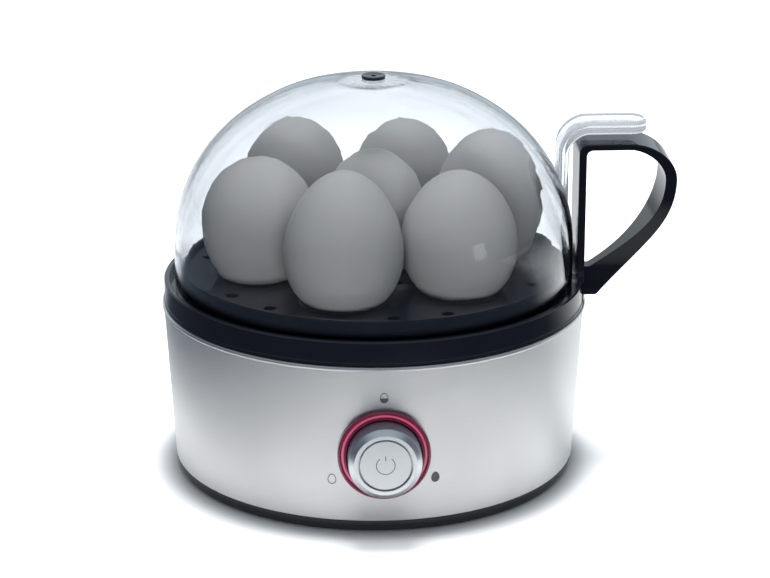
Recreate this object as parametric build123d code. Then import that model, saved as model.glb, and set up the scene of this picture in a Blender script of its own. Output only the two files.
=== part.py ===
from build123d import *
import math
import os

# Seven-egg steam boiler for the worktop. Millimetres, +Z up, knob towards -Y, tray handle towards +X.
# The origin is on the body's axis, on the plane that the feet stand on.
# The egg pitch and the housing's top set the overall size, and every fit follows from them.

# ---- overall
EGG_PITCH = 50.0
HOUSING_TOP_Z = 73.0

# ---- sizes that many pieces share
HOLE_GAP = 0.2
SCREW_GAP = 0.05
SLIDE_GAP = 0.1
SEAT_GAP = 0.02
OVERRUN = 1.0
THROUGH = 40.0
EDGE_BREAK = 0.6
FINE_EDGE = 0.2

# ---- egg tray
SEAT_EDGE = 29.3
SEAT_TURN = 12.75
SEAT_TOP_RADIUS = 16.6
SEAT_LOW_RADIUS = 13.2
SEAT_DEPTH = 5.0
SEAT_WALL = 1.6
SEAT_LIP = 0.7
TRAY_GAP = 0.2
TRAY_COLLAR_WALL = 2.2
TRAY_COLLAR_RISE = 6.3
TRAY_GROOVE_WIDTH = 5.1
TRAY_RING_WALL = 2.4
TRAY_RING_HEIGHT = 10.0
TRAY_BEAD = 0.35
TRAY_BEAD_HEIGHT = 1.4
TRAY_FLOOR_WALL = 1.9
TRAY_FLOOR_DROP = 3.6
TRAY_DECK_DROP = 2.3
TRAY_DECK_WALL = 1.8
TRAY_SPIGOT_DROP = 1.2
TRAY_SPIGOT_GAP = 0.4
TRAY_SPIGOT_WALL = 1.6
RIB_WALL = 1.8
RIB_DEPTH = 4.0
STEAM_HOLE_RADIUS = 2.6
STEAM_HOLE_INSET = 7.8
STEAM_HOLE_SPREAD = 9.0
STEAM_SLOT_LENGTH = 9.0
STEAM_SLOT_WIDTH = 3.2

# ---- tray handle
HANDLE_WIDTH = 24.0
HANDLE_WALL = 3.1
HANDLE_BAR_WALL = 2.4
HANDLE_ARM_WALL = 4.9
HANDLE_RISE = 57.8
HANDLE_OUT = 37.8
HANDLE_BAR_OUT = 18.0
HANDLE_BULGE_DROP = 15.8
HANDLE_CORNER = 4.0
HANDLE_HOLE_CORNER = 2.6
HANDLE_ROOT_OUT = 6.2
HANDLE_ROOT_DROP = 9.3
HANDLE_ROOT_WIDTH = 7.2
HANDLE_ROOT_FLARE = 3.6
HANDLE_ROOT_SLOPE = -0.93
HANDLE_HOLE_SLOPE = -0.66
HANDLE_HOLE_OUT = 3.2
HANDLE_HOLE_RISE = 2.2
HANDLE_TIP_OUT = 4.8
HANDLE_FLARE = 6.0
HANDLE_FIT = 0.1
HANDLE_EDGE = 0.6
HANDLE_TONGUE = 4.0
HANDLE_TONGUE_INSET = 2.0
HANDLE_SCREW_Y = 6.0
HANDLE_SCREW_RADIUS = 1.2
HANDLE_SCREW_HEAD = 2.3
HANDLE_SCREW_SINK = 1.2

# ---- lid
DOME_WALL = 2.2
DOME_COLLAR_GAP = 0.66
DOME_SEAT_GAP = 0.3
DOME_SKIRT = 12.5
DOME_RISE = 72.2
DOME_POWER = 2.1
DOME_STEPS = 8
DOME_HANDLE_GAP = 1.04
VENT_RADIUS = 5.0
VENT_BOSS = 0.7
VENT_DISC = 0.7
VENT_DISH = 0.35
VENT_NECK = 3.2
VENT_NECK_LENGTH = 1.4
VENT_LEDGE = 0.5
VENT_BORE = 1.2
LID_HANDLE_WIDTH = 17.0
LID_HANDLE_WALL = 4.2
LID_HANDLE_BAR = 5.5
LID_HANDLE_INSET = 7.06
LID_HANDLE_OUT = 30.24
LID_HANDLE_GAP = 3.2
LID_HANDLE_BEND = 9.0
LID_HANDLE_CORNER = 7.0
LID_HANDLE_EDGE = 1.6

# ---- steel housing
HOUSING_PROUD = 0.4
HOUSING_NARROWING = 3.8
HOUSING_FOOT_Z = 5.6
HOUSING_BEAD = 0.9
HOUSING_BEAD_BULGE = 0.72
HOUSING_TOP_FLANGE = 6.1
HOUSING_FOOT_FLANGE = 3.0
STEEL_WALL = 0.6

# ---- inner body that ties the pan, the housing and the dish together
BODY_GAP = 0.2
BODY_SIDE_GAP = 1.0
BODY_UPSTAND_WALL = 3.3
BODY_LEDGE_WIDTH = 5.0
BODY_LEDGE_DROP = 3.0
BODY_RING_HEIGHT = 5.7
BODY_SEAT_RISE = 0.2
POST_GAP = 0.4
POST_DISH_GAP = 0.8
POST_ANGLES = (30.0, 150.0, 210.0, 330.0)
POST_WALL = 2.4
POST_SHOULDER = 1.0
LEG_WIDTH = 7.0
LEG_DEPTH = 6.0

# ---- base pan and feet
PAN_RIM_Z = 0.8
PAN_JOINT_GAP = 0.1
PAN_STEP = 0.7
PAN_DRAFT = 0.5
PAN_BULGE = 0.5
PAN_FLOOR_LOW = 2.6
PAN_FLOOR_WALL = 2.2
PAN_RIB_HEIGHT = 3.5
PAN_RIB_WALL = 2.0
PAN_WELL_WALL = 1.8
PAN_WELL_DEPTH = 4.2
FOOT_INSET = 10.4
FOOT_RADIUS = 6.5
FOOT_STEM_RADIUS = 2.5
FOOT_BARB_RADIUS = 3.6
FOOT_BARB_HEIGHT = 1.6
FOOT_ANGLES = (60.0, 120.0, 240.0, 300.0)
VENT_SLOTS = 12
VENT_SLOT_WIDTH = 2.4
VENT_SLOT_LENGTH = 16.0
VENT_SLOT_INSET = 38.4
VENT_SLOT_SKEW = 15.0

# ---- fasteners
PAN_SCREW_RADIUS = 1.6
PAN_SCREW_RIM = 2.0
PAN_SCREW_HEAD_HEIGHT = 2.2
PAN_SCREW_LENGTH = 12.0
CROSS_LENGTH = 4.0
CROSS_WIDTH = 0.9
CROSS_DEPTH = 1.0
SMALL_SCREW_RADIUS = 1.2
SMALL_SCREW_HEAD = 2.3
SMALL_SCREW_HEAD_HEIGHT = 1.5
SMALL_SCREW_LENGTH = 5.0
SMALL_SCREW_EDGE = 0.4

# ---- water dish, its gasket, clamps and element
GASKET_HEIGHT = 1.0
GASKET_INSET = 0.4
DISH_WALL = 0.8
DISH_GAP = 0.3
DISH_FLANGE_WIDTH = 7.0
DISH_SIDE_SLOPE = 5.5
DISH_DEPTH = 11.0
DISH_FLOOR_BEND = 5.0
DISH_FLANGE_BEND = 2.0
STUD_INSET = 7.0
STUD_RADIUS = 2.0
STUD_LENGTH = 8.0
CLAMP_WIDTH = 10.0
CLAMP_WALL = 1.2
CLAMP_DROP = 3.4
CLAMP_TAIL = 5.5
CLAMP_HOOK = 5.0
CLAMP_BEND = 1.6
CLAMP_GAP = 0.4
CLAMP_ANGLES = (45.0, 135.0, 225.0, 315.0)
NUT_ACROSS_FLATS = 7.0
NUT_HEIGHT = 3.2
SPREADER_INSET = 6.0
SPREADER_WALL = 3.0
SPREADER_BORE = 9.5
ELEMENT_INSET = 10.0
ELEMENT_RADIUS = 3.3
ELEMENT_SINK = 2.0
ELEMENT_GAP_ANGLE = 36.0
ELEMENT_BEND = 7.0
ELEMENT_TAIL = 10.0
ELEMENT_PIN_RADIUS = 1.2
ELEMENT_PIN_LENGTH = 5.0
THERMOSTAT_RADIUS = 8.6
THERMOSTAT_HEIGHT = 11.0
THERMOSTAT_SHOULDER = 0.9
THERMOSTAT_CAP = 3.0
THERMOSTAT_TAB = (0.8, 6.3, 4.0)
THERMOSTAT_TAB_X = 5.0
THERMOSTAT_SCREW_X = 14.0
THERMOSTAT_SCREW_LENGTH = 2.8
THERMOSTAT_PLATE = (36.0, 21.5)
THERMOSTAT_PLATE_CORNER = 4.0
FUSE_RADIUS = 2.0
FUSE_LENGTH = 12.0
FUSE_LEAD_RADIUS = 0.6
FUSE_LEAD_LENGTH = 8.0
FUSE_CIRCLE = 29.0
FUSE_ANGLE = 225.0
FUSE_CLIP_WALL = 0.5
FUSE_CLIP_WIDTH = 5.0
FUSE_CLIP_REACH = 7.0
SHIELD_DROP = 29.0
SHIELD_WALL = 0.5
SHIELD_EDGE = 6.0
SHIELD_NOTCH_MARGIN = 6.0
SHIELD_WINDOW = (30.0, 14.0)

# ---- knob, push button and light ring, on an axis towards -Y
KNOB_DROP = 3.5
KNOB_RADIUS = 14.8
KNOB_PROUD = 13.5
KNOB_SINK = 0.1
KNOB_WALL = 1.3
KNOB_LIP = 1.4
KNOB_TAPER = 2.2
KNOB_FACE_WIDTH = 1.7
KNOB_SHOULDER = 2.0
BUTTON_GAP = 0.5
BUTTON_RECESS = 0.2
BUTTON_FLANGE = 1.2
BUTTON_OVERLAP = 0.7
BUTTON_STEM_RADIUS = 3.0
BUTTON_TRAVEL = 1.5
BUTTON_LIP_GAP = 0.3
LIGHT_RING_GAP = 0.4
LIGHT_RING_WIDTH = 3.6
LIGHT_RING_PROUD = 3.3
LIGHT_RING_CHANNEL = 1.1
LIGHT_RING_CREST = 0.8
LIGHT_NECK_WALL = 1.9
LIGHT_NECK_LENGTH = 9.0
SHAFT_WALL = 1.7
SHAFT_RUNNING_GAP = 0.06
HUB_WALL = 3.6
HUB_TAIL = 2.0
HUB_FRONT_DROP = 6.2
HUB_WEB = 2.4
HUB_DEPTH = 6.0
HUB_RIB = 1.4

# ---- control module behind the knob
BRACKET_PLATE = 2.0
BRACKET_EDGE = 4.0
COLLAR_LENGTH = 5.3
COLLAR_WALL = 2.0
COLLAR_FLOOR = 0.3
COLLAR_LEDGE = 1.1
LEG_OFFSET = 6.6
STANDOFF = 4.0
STANDOFF_RADIUS = 2.6
STANDOFF_CORE = 5.2
BOARD_MARGIN = 4.5
BOARD_WALL = 1.6
SENSOR_RADIUS = 13.0
SENSOR_HEIGHT = 6.0
SENSOR_FLOOR = 1.6
ROTOR_RADIUS = 9.5
ROTOR_WALL = 2.0
ROTOR_SLACK = 0.15
STEM_CLEARANCE = 1.5
PLUNGER_RADIUS = 1.6
PLUNGER_LENGTH = 6.5
PLUNGER_GAP = 0.08
PLUNGER_SLACK = 0.4
SWITCH_SIZE = 8.0
SWITCH_DEPTH = 6.4
LED_SIZE = (2.0, 3.0, 1.1)
LED_COUNT = 4

# ---- power electronics on the pan
POWER_BOARD_SIZE = (64.0, 46.0)
POWER_BOARD_Y = 30.0
POWER_BOARD_Z = 10.0
POWER_POST_RADIUS = 3.0
POWER_POST_INSET = 4.0
RELAY_SIZE = (19.0, 15.5, 15.0)
RELAY_PLACE = (-17.0, 2.0)
TRANSFORMER_CORE = (24.0, 14.0, 20.0)
TRANSFORMER_COIL = (16.0, 22.0, 12.0)
TRANSFORMER_LIMB = 5.0
TRANSFORMER_PLACE = (10.0, -3.0)
CAPACITOR_RADIUS = 5.0
CAPACITOR_HEIGHT = 16.0
CAPACITOR_GROOVE_Z = 2.2
CAPACITOR_GROOVE = 0.8
CAPACITOR_PLACE = (17.0, 14.5)
BUZZER_RADIUS = 6.0
BUZZER_HEIGHT = 7.0
BUZZER_HOLE = 1.0
BUZZER_PLACE = (-16.0, -14.5)
TERMINAL_SIZE = (27.0, 9.0, 12.0)
TERMINAL_PITCH = 9.0
TERMINAL_WIRE_RADIUS = 1.9
TERMINAL_WIRE_Z = 5.0
TERMINAL_SCREW_RADIUS = 2.0
TERMINAL_SLOT = 2.0
TERMINAL_GAP = 3.5

# ---- cord outlet at the back
OUTLET_Z = 17.0
OUTLET_BORE = 3.7
OUTLET_WALL = 2.1
OUTLET_FLANGE = 8.5
OUTLET_PROUD = 3.0
OUTLET_INNER = 4.2
OUTLET_LIP = 1.4
OUTLET_LIP_WALL = 2.8

# ---- derived places: tray, from the eggs outwards
ON_BASE = (Align.CENTER, Align.CENTER, Align.MIN)
BELOW = (Align.CENTER, Align.CENTER, Align.MAX)
SEAT_ANGLES = [SEAT_TURN + 60 * k for k in range(6)]
DECK_RADIUS = EGG_PITCH + SEAT_EDGE
TRAY_COLLAR_RADIUS = DECK_RADIUS + TRAY_COLLAR_WALL
TRAY_GROOVE_RADIUS = TRAY_COLLAR_RADIUS + TRAY_GROOVE_WIDTH
TRAY_RING_RADIUS = TRAY_GROOVE_RADIUS + TRAY_RING_WALL
STEAM_HOLE_CIRCLE = DECK_RADIUS - STEAM_HOLE_INSET
STEAM_SLOT_CIRCLE = EGG_PITCH / math.sqrt(3)

# ---- derived places: housing and inner body
HOUSING_TOP_RADIUS = TRAY_RING_RADIUS + HOUSING_PROUD
HOUSING_FOOT_RADIUS = HOUSING_TOP_RADIUS - HOUSING_NARROWING
HOUSING_TAPER = HOUSING_NARROWING / (HOUSING_TOP_Z - HOUSING_FOOT_Z)
TOP_FLANGE_RADIUS = HOUSING_TOP_RADIUS - HOUSING_TOP_FLANGE
FOOT_FLANGE_RADIUS = HOUSING_FOOT_RADIUS - HOUSING_FOOT_FLANGE
BODY_RING_HIGH = HOUSING_TOP_Z - STEEL_WALL - BODY_GAP
BODY_RING_LOW = BODY_RING_HIGH - BODY_RING_HEIGHT
BODY_SEAT_Z = HOUSING_TOP_Z + BODY_SEAT_RISE
BODY_SEAT_RADIUS = TOP_FLANGE_RADIUS - BODY_GAP
BODY_UPSTAND_RADIUS = BODY_SEAT_RADIUS - BODY_UPSTAND_WALL
BODY_LEDGE_RADIUS = BODY_UPSTAND_RADIUS - BODY_LEDGE_WIDTH
BODY_LEDGE_Z = HOUSING_TOP_Z - BODY_LEDGE_DROP

# ---- derived places: tray and lid heights
TRAY_LOW = BODY_SEAT_Z + TRAY_GAP
TRAY_RING_HIGH = TRAY_LOW + TRAY_RING_HEIGHT
TRAY_FLOOR_HIGH = TRAY_RING_HIGH - TRAY_FLOOR_DROP
TRAY_FLOOR_LOW = TRAY_FLOOR_HIGH - TRAY_FLOOR_WALL
TRAY_COLLAR_HIGH = TRAY_RING_HIGH + TRAY_COLLAR_RISE
TRAY_DECK_HIGH = TRAY_COLLAR_HIGH - TRAY_DECK_DROP
TRAY_DECK_LOW = TRAY_DECK_HIGH - TRAY_DECK_WALL
SPIGOT_RADIUS = BODY_UPSTAND_RADIUS - TRAY_SPIGOT_GAP
DOME_RADIUS = TRAY_COLLAR_RADIUS + DOME_COLLAR_GAP + DOME_WALL
DOME_LOW = TRAY_FLOOR_HIGH + DOME_SEAT_GAP
DOME_SPRING_Z = TRAY_RING_HIGH + DOME_SKIRT
DOME_TOP_Z = DOME_SPRING_Z + DOME_RISE
HANDLE_IN = DOME_RADIUS + DOME_HANDLE_GAP
HANDLE_TOP_Z = TRAY_RING_HIGH + HANDLE_RISE
HANDLE_TIP_Z = TRAY_LOW + HANDLE_FIT
HANDLE_SCREW_X = TRAY_COLLAR_RADIUS + TRAY_GROOVE_WIDTH / 2
LID_HANDLE_IN = DOME_RADIUS - LID_HANDLE_INSET
LID_HANDLE_LOW = HANDLE_TOP_Z + LID_HANDLE_GAP
LID_HANDLE_HIGH = LID_HANDLE_LOW + LID_HANDLE_BAR
LID_HANDLE_REACH = DOME_RADIUS + LID_HANDLE_OUT

# ---- derived places: base pan
PAN_TOP_Z = HOUSING_FOOT_Z - PAN_JOINT_GAP
PAN_TOP_RADIUS = HOUSING_FOOT_RADIUS - PAN_STEP
PAN_FOOT_RADIUS = PAN_TOP_RADIUS - PAN_DRAFT
PAN_FLOOR_HIGH = PAN_FLOOR_LOW + PAN_FLOOR_WALL
PAN_RIB_RADIUS = FOOT_FLANGE_RADIUS - BODY_GAP
POST_LOW = PAN_FLOOR_HIGH + PAN_RIB_HEIGHT
PAN_SCREW_HEAD = PAN_SCREW_RADIUS + PAN_SCREW_RIM
PAN_WELL_RADIUS = PAN_SCREW_HEAD + EDGE_BREAK + PAN_WELL_WALL
POST_RADIUS = PAN_SCREW_RADIUS + POST_WALL
POST_CIRCLE = PAN_RIB_RADIUS - PAN_RIB_WALL - POST_GAP - POST_RADIUS - POST_SHOULDER
FOOT_CIRCLE = PAN_RIB_RADIUS - FOOT_INSET
VENT_SLOT_CIRCLE = PAN_RIB_RADIUS - VENT_SLOT_INSET

# ---- derived places: dish and element, hung from the ledge
DISH_FLANGE_LOW = BODY_LEDGE_Z + GASKET_HEIGHT
DISH_FLANGE_RADIUS = BODY_UPSTAND_RADIUS - DISH_GAP
DISH_RIM_RADIUS = DISH_FLANGE_RADIUS - DISH_FLANGE_WIDTH
DISH_FLOOR_RADIUS = DISH_RIM_RADIUS - DISH_SIDE_SLOPE
DISH_UNDERSIDE = DISH_FLANGE_LOW - DISH_DEPTH
STUD_CIRCLE = DISH_FLOOR_RADIUS - STUD_INSET
CLAMP_LINE = DISH_UNDERSIDE - CLAMP_DROP
SPREADER_RADIUS = STUD_CIRCLE - SPREADER_INSET
SPREADER_LOW = DISH_UNDERSIDE - SPREADER_WALL
ELEMENT_CIRCLE = SPREADER_RADIUS - ELEMENT_INSET
ELEMENT_Z = SPREADER_LOW + ELEMENT_SINK - ELEMENT_RADIUS
SHIELD_Z = HOUSING_TOP_Z - SHIELD_DROP
SHIELD_RADIUS = POST_CIRCLE + SHIELD_EDGE

# ---- derived places: knob and controls, as distances forward of the body's axis
KNOB_Z = (HOUSING_FOOT_Z + HOUSING_TOP_Z) / 2 - KNOB_DROP
STEEL_FACE = HOUSING_FOOT_RADIUS + (KNOB_Z - HOUSING_FOOT_Z) * HOUSING_TAPER
KNOB_FACE = STEEL_FACE + KNOB_PROUD
KNOB_BACK = STEEL_FACE - KNOB_SINK
KNOB_FACE_RADIUS = KNOB_RADIUS - KNOB_TAPER
KNOB_INSIDE = KNOB_RADIUS - KNOB_WALL
KNOB_OPENING = KNOB_FACE_RADIUS - KNOB_FACE_WIDTH
BUTTON_RADIUS = KNOB_OPENING - BUTTON_GAP
BUTTON_FRONT = KNOB_FACE - BUTTON_RECESS
BUTTON_FLANGE_FRONT = KNOB_FACE - KNOB_LIP - BUTTON_LIP_GAP
BUTTON_BACK = BUTTON_FLANGE_FRONT - BUTTON_FLANGE
LIGHT_RING_BORE = KNOB_RADIUS + LIGHT_RING_GAP
LIGHT_RING_RADIUS = LIGHT_RING_BORE + LIGHT_RING_WIDTH
LIGHT_RING_FRONT = STEEL_FACE + LIGHT_RING_PROUD
LIGHT_NECK_RADIUS = LIGHT_RING_BORE + LIGHT_NECK_WALL
LIGHT_NECK_BACK = STEEL_FACE - LIGHT_NECK_LENGTH
SHAFT_BORE = BUTTON_STEM_RADIUS + COLLAR_FLOOR
SHAFT_RADIUS = SHAFT_BORE + SHAFT_WALL
HUB_RADIUS = SHAFT_RADIUS + HUB_WALL
HUB_BACK = KNOB_BACK - HUB_TAIL
HUB_FRONT = KNOB_FACE - HUB_FRONT_DROP
BRACKET_FRONT = LIGHT_NECK_BACK - COLLAR_FLOOR
BRACKET_BACK = BRACKET_FRONT - BRACKET_PLATE
BRACKET_OPENING = LIGHT_NECK_RADIUS - COLLAR_LEDGE
COLLAR_BORE = LIGHT_NECK_RADIUS + SLIDE_GAP
COLLAR_RADIUS = COLLAR_BORE + COLLAR_WALL
COLLAR_FRONT = LIGHT_NECK_BACK + COLLAR_LENGTH
BRACKET_HEIGHT = 2 * (COLLAR_RADIUS + EDGE_BREAK)
LEG_X = COLLAR_RADIUS + LEG_OFFSET
LEG_SCREW_RISE = BRACKET_HEIGHT / 2 - BRACKET_EDGE
LEG_LOW = KNOB_Z - BRACKET_HEIGHT / 2
BRACKET_WIDTH = 2 * (LEG_X + BRACKET_EDGE)
STANDOFF_X = BRACKET_HEIGHT / 2 - STANDOFF_RADIUS
STANDOFF_Y = BRACKET_HEIGHT / 2 - BOARD_MARGIN
BOARD_WIDTH = 2 * (STANDOFF_X + BOARD_MARGIN)
BOARD_FRONT = BRACKET_BACK - STANDOFF
BOARD_BACK = BOARD_FRONT - BOARD_WALL
ROTOR_BACK = BOARD_FRONT + SENSOR_FLOOR
STEM_BACK = BOARD_FRONT + BUTTON_TRAVEL + STEM_CLEARANCE
LED_CIRCLE = BRACKET_OPENING - EDGE_BREAK - LED_SIZE[0] / 2
SHIELD_NOTCH_X = LEG_X + LEG_WIDTH / 2 + SHIELD_NOTCH_MARGIN
SHIELD_NOTCH_Y = SWITCH_DEPTH + SHIELD_NOTCH_MARGIN - BOARD_BACK
POWER_BOARD_TOP = POWER_BOARD_Z + BOARD_WALL
OUTLET_FACE = HOUSING_FOOT_RADIUS + (OUTLET_Z - HOUSING_FOOT_Z) * HOUSING_TAPER
OUTLET_BACK = OUTLET_FACE - OUTLET_INNER
OUTLET_NECK = OUTLET_BORE + OUTLET_WALL
TERMINAL_Y = POWER_BOARD_Y + POWER_BOARD_SIZE[1] / 2 + TERMINAL_GAP + TERMINAL_SIZE[1] / 2
FRONT = Plane(origin=(0, 0, KNOB_Z), x_dir=(1, 0, 0), z_dir=(0, -1, 0))
BACKWARD = Plane(origin=(0, 0, OUTLET_Z), x_dir=(1, 0, 0), z_dir=(0, 1, 0))
SIDEWAYS = Plane(origin=(0, 0, 0), x_dir=(0, 1, 0), z_dir=(1, 0, 0))


# ---- helpers
def steel_radius(z):
    """Outer radius of the tapered housing at a height."""
    return HOUSING_FOOT_RADIUS + (z - HOUSING_FOOT_Z) * HOUSING_TAPER


def disc(radius, low, high):
    """Upright cylinder on the body's axis."""
    return Pos(0, 0, low) * Cylinder(radius, high - low, align=ON_BASE)


def ring(outer, inner, low, high):
    """Upright tube on the body's axis."""
    return disc(outer, low, high) - disc(inner, low, high)


def front_disc(radius, back, front):
    """Cylinder on the knob's axis, between two distances forward of the body's axis."""
    return FRONT * Pos(0, 0, back) * Cylinder(radius, front - back, align=ON_BASE)


def front_box(width, height, back, front):
    """Block centred on the knob's axis, between two distances forward of the body's axis."""
    return FRONT * Pos(0, 0, back) * Box(width, height, front - back, align=ON_BASE)


def turned(points):
    """Solid of revolution about the Z axis, from an outline of (radius, height) points."""
    outline = make_face(Polyline(*[(r, 0, z) for r, z in points], close=True))
    return revolve(outline, Axis.Z)


def at(angle, radius, shape):
    """A shape moved out along +X and turned about the body's axis."""
    return Rot(0, 0, angle) * Pos(radius, 0, 0) * shape


def both_ways(x, y):
    """The four places at plus and minus x and y."""
    return [(sx * x, sy * y) for sx in (-1, 1) for sy in (-1, 1)]


def power_posts():
    """The four (x, y) places under the corners of the power board."""
    x = POWER_BOARD_SIZE[0] / 2 - POWER_POST_INSET
    y = POWER_BOARD_SIZE[1] / 2 - POWER_POST_INSET
    return [(px, POWER_BOARD_Y + py) for px, py in both_ways(x, y)]


def housing_cone(gap):
    """The housing's outer form, grown by a gap, for trimming what sits on it."""
    height = HOUSING_TOP_Z - HOUSING_FOOT_Z
    cone = Cone(HOUSING_FOOT_RADIUS + gap, HOUSING_TOP_RADIUS + gap, height, align=ON_BASE)
    return Pos(0, 0, HOUSING_FOOT_Z) * cone


def strip(points, radii, width, wall):
    """Bent strip of an even wall in the XZ plane, centred across Y."""
    line = FilletPolyline(*points, radius=radii)
    return extrude(Plane.XZ * trace(line, wall), width / 2, both=True)


def arc_about(centre, radius, start, end):
    """Arc in the XZ plane about a centre, between two directions in degrees."""
    middle = (start + end) / 2
    places = []
    for turn in (start, middle, end):
        x = centre[0] + radius * math.cos(math.radians(turn))
        z = centre[1] + radius * math.sin(math.radians(turn))
        places.append((x, 0, z))
    return ThreePointArc(*places)


def pan_screw():
    """Pan-head screw, head down, with the underside of its head on the XY plane."""
    head = Cylinder(PAN_SCREW_HEAD, PAN_SCREW_HEAD_HEIGHT, align=BELOW)
    head = chamfer(head.edges().group_by(Axis.Z)[0], EDGE_BREAK)
    shank = Cylinder(PAN_SCREW_RADIUS, PAN_SCREW_LENGTH, align=ON_BASE)
    cross = Box(CROSS_LENGTH, CROSS_WIDTH, CROSS_DEPTH, align=ON_BASE)
    cross += Box(CROSS_WIDTH, CROSS_LENGTH, CROSS_DEPTH, align=ON_BASE)
    return head + shank - Pos(0, 0, -PAN_SCREW_HEAD_HEIGHT) * cross


def small_screw(length=SMALL_SCREW_LENGTH):
    """Small screw with its head above the XY plane and its shank below it."""
    head = Cylinder(SMALL_SCREW_HEAD, SMALL_SCREW_HEAD_HEIGHT, align=ON_BASE)
    head = chamfer(head.edges().group_by(Axis.Z)[-1], SMALL_SCREW_EDGE)
    return head + Cylinder(SMALL_SCREW_RADIUS, length, align=BELOW)


def screw_core(length):
    """Pilot hole for a small screw, upward from the XY plane."""
    return Cylinder(SMALL_SCREW_RADIUS + SCREW_GAP, length, align=ON_BASE)


# ---- base
def base_pan():
    """Moulded bottom with a rounded rim, screw wells, foot holes, vents and board posts."""
    rim_in = PAN_RIB_RADIUS - PAN_RIB_WALL
    middle_z = (PAN_RIM_Z + PAN_TOP_Z) / 2
    middle_radius = (PAN_TOP_RADIUS + PAN_FOOT_RADIUS) / 2 + PAN_BULGE
    side = ThreePointArc(
        (PAN_TOP_RADIUS, 0, PAN_TOP_Z),
        (middle_radius, 0, middle_z),
        (PAN_FOOT_RADIUS, 0, PAN_RIM_Z),
    )
    rest = Polyline(
        (PAN_FOOT_RADIUS, 0, PAN_RIM_Z),
        (rim_in, 0, PAN_RIM_Z),
        (rim_in, 0, PAN_FLOOR_LOW),
        (0, 0, PAN_FLOOR_LOW),
        (0, 0, PAN_FLOOR_HIGH),
        (rim_in, 0, PAN_FLOOR_HIGH),
        (rim_in, 0, POST_LOW),
        (PAN_RIB_RADIUS, 0, POST_LOW),
        (PAN_RIB_RADIUS, 0, PAN_TOP_Z),
        (PAN_TOP_RADIUS, 0, PAN_TOP_Z),
    )
    pan = revolve(make_face([side, rest]), Axis.Z)
    boss = Pos(0, 0, PAN_FLOOR_LOW) * Cylinder(PAN_WELL_RADIUS, POST_LOW - PAN_FLOOR_LOW, align=ON_BASE)
    well = Cylinder(PAN_SCREW_HEAD + EDGE_BREAK, PAN_FLOOR_LOW + PAN_WELL_DEPTH, align=ON_BASE)
    hole = Cylinder(PAN_SCREW_RADIUS + HOLE_GAP, THROUGH, align=ON_BASE)
    for angle in POST_ANGLES:
        pan += at(angle, POST_CIRCLE, boss)
        pan -= at(angle, POST_CIRCLE, well + hole)
    for angle in FOOT_ANGLES:
        pan -= at(angle, FOOT_CIRCLE, Cylinder(FOOT_STEM_RADIUS + SCREW_GAP, THROUGH))
    slot = extrude(SlotOverall(VENT_SLOT_LENGTH, VENT_SLOT_WIDTH), THROUGH / 2, both=True)
    for k in range(VENT_SLOTS):
        pan -= at(VENT_SLOT_SKEW + 360 * k / VENT_SLOTS, VENT_SLOT_CIRCLE, slot)
    post = Cylinder(POWER_POST_RADIUS, POWER_BOARD_Z - PAN_FLOOR_LOW, align=ON_BASE)
    for x, y in power_posts():
        pan += Pos(x, y, PAN_FLOOR_LOW) * post
        pan -= Pos(x, y, POWER_BOARD_Z) * Rot(180, 0, 0) * screw_core(SMALL_SCREW_LENGTH)
    return pan


def rubber_feet():
    """Four feet, each a pad with a stem and a barb pressed through the pan."""
    barb_top = PAN_FLOOR_HIGH + FOOT_BARB_HEIGHT
    foot = turned([
        (0, 0),
        (FOOT_RADIUS - EDGE_BREAK, 0),
        (FOOT_RADIUS, EDGE_BREAK),
        (FOOT_RADIUS, PAN_FLOOR_LOW),
        (FOOT_STEM_RADIUS, PAN_FLOOR_LOW),
        (FOOT_STEM_RADIUS, PAN_FLOOR_HIGH),
        (FOOT_BARB_RADIUS, PAN_FLOOR_HIGH),
        (FOOT_STEM_RADIUS - EDGE_BREAK, barb_top),
        (0, barb_top),
    ])
    return [at(angle, FOOT_CIRCLE, foot) for angle in FOOT_ANGLES]


def pan_screws():
    """Four screws up through the pan into the posts."""
    screw = Pos(0, 0, PAN_FLOOR_LOW + PAN_WELL_DEPTH) * pan_screw()
    return [at(angle, POST_CIRCLE, screw) for angle in POST_ANGLES]


def steel_housing():
    """Spun sleeve with a rolled bead at its top and flanges turned in at both ends."""
    wall_top = HOUSING_TOP_Z - 2 * HOUSING_BEAD
    outer = steel_radius(wall_top)
    inner_low = HOUSING_FOOT_Z + STEEL_WALL
    inner_high = HOUSING_TOP_Z - STEEL_WALL
    wall = Line((HOUSING_FOOT_RADIUS, 0, HOUSING_FOOT_Z), (outer, 0, wall_top))
    bead = ThreePointArc(
        (outer, 0, wall_top),
        (outer + HOUSING_BEAD_BULGE, 0, HOUSING_TOP_Z - HOUSING_BEAD),
        (outer, 0, HOUSING_TOP_Z),
    )
    inside = Polyline(
        (outer, 0, HOUSING_TOP_Z),
        (TOP_FLANGE_RADIUS, 0, HOUSING_TOP_Z),
        (TOP_FLANGE_RADIUS, 0, inner_high),
        (steel_radius(inner_high) - STEEL_WALL, 0, inner_high),
        (steel_radius(inner_low) - STEEL_WALL, 0, inner_low),
        (FOOT_FLANGE_RADIUS, 0, inner_low),
        (FOOT_FLANGE_RADIUS, 0, HOUSING_FOOT_Z),
        (HOUSING_FOOT_RADIUS, 0, HOUSING_FOOT_Z),
    )
    housing = revolve(make_face([wall, bead, inside]), Axis.Z)
    housing -= front_disc(LIGHT_NECK_RADIUS + DISH_GAP, BOARD_FRONT, KNOB_FACE)
    outlet = Cylinder(OUTLET_NECK + SLIDE_GAP, THROUGH)
    return housing - BACKWARD * Pos(0, 0, OUTLET_FACE) * outlet


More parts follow.
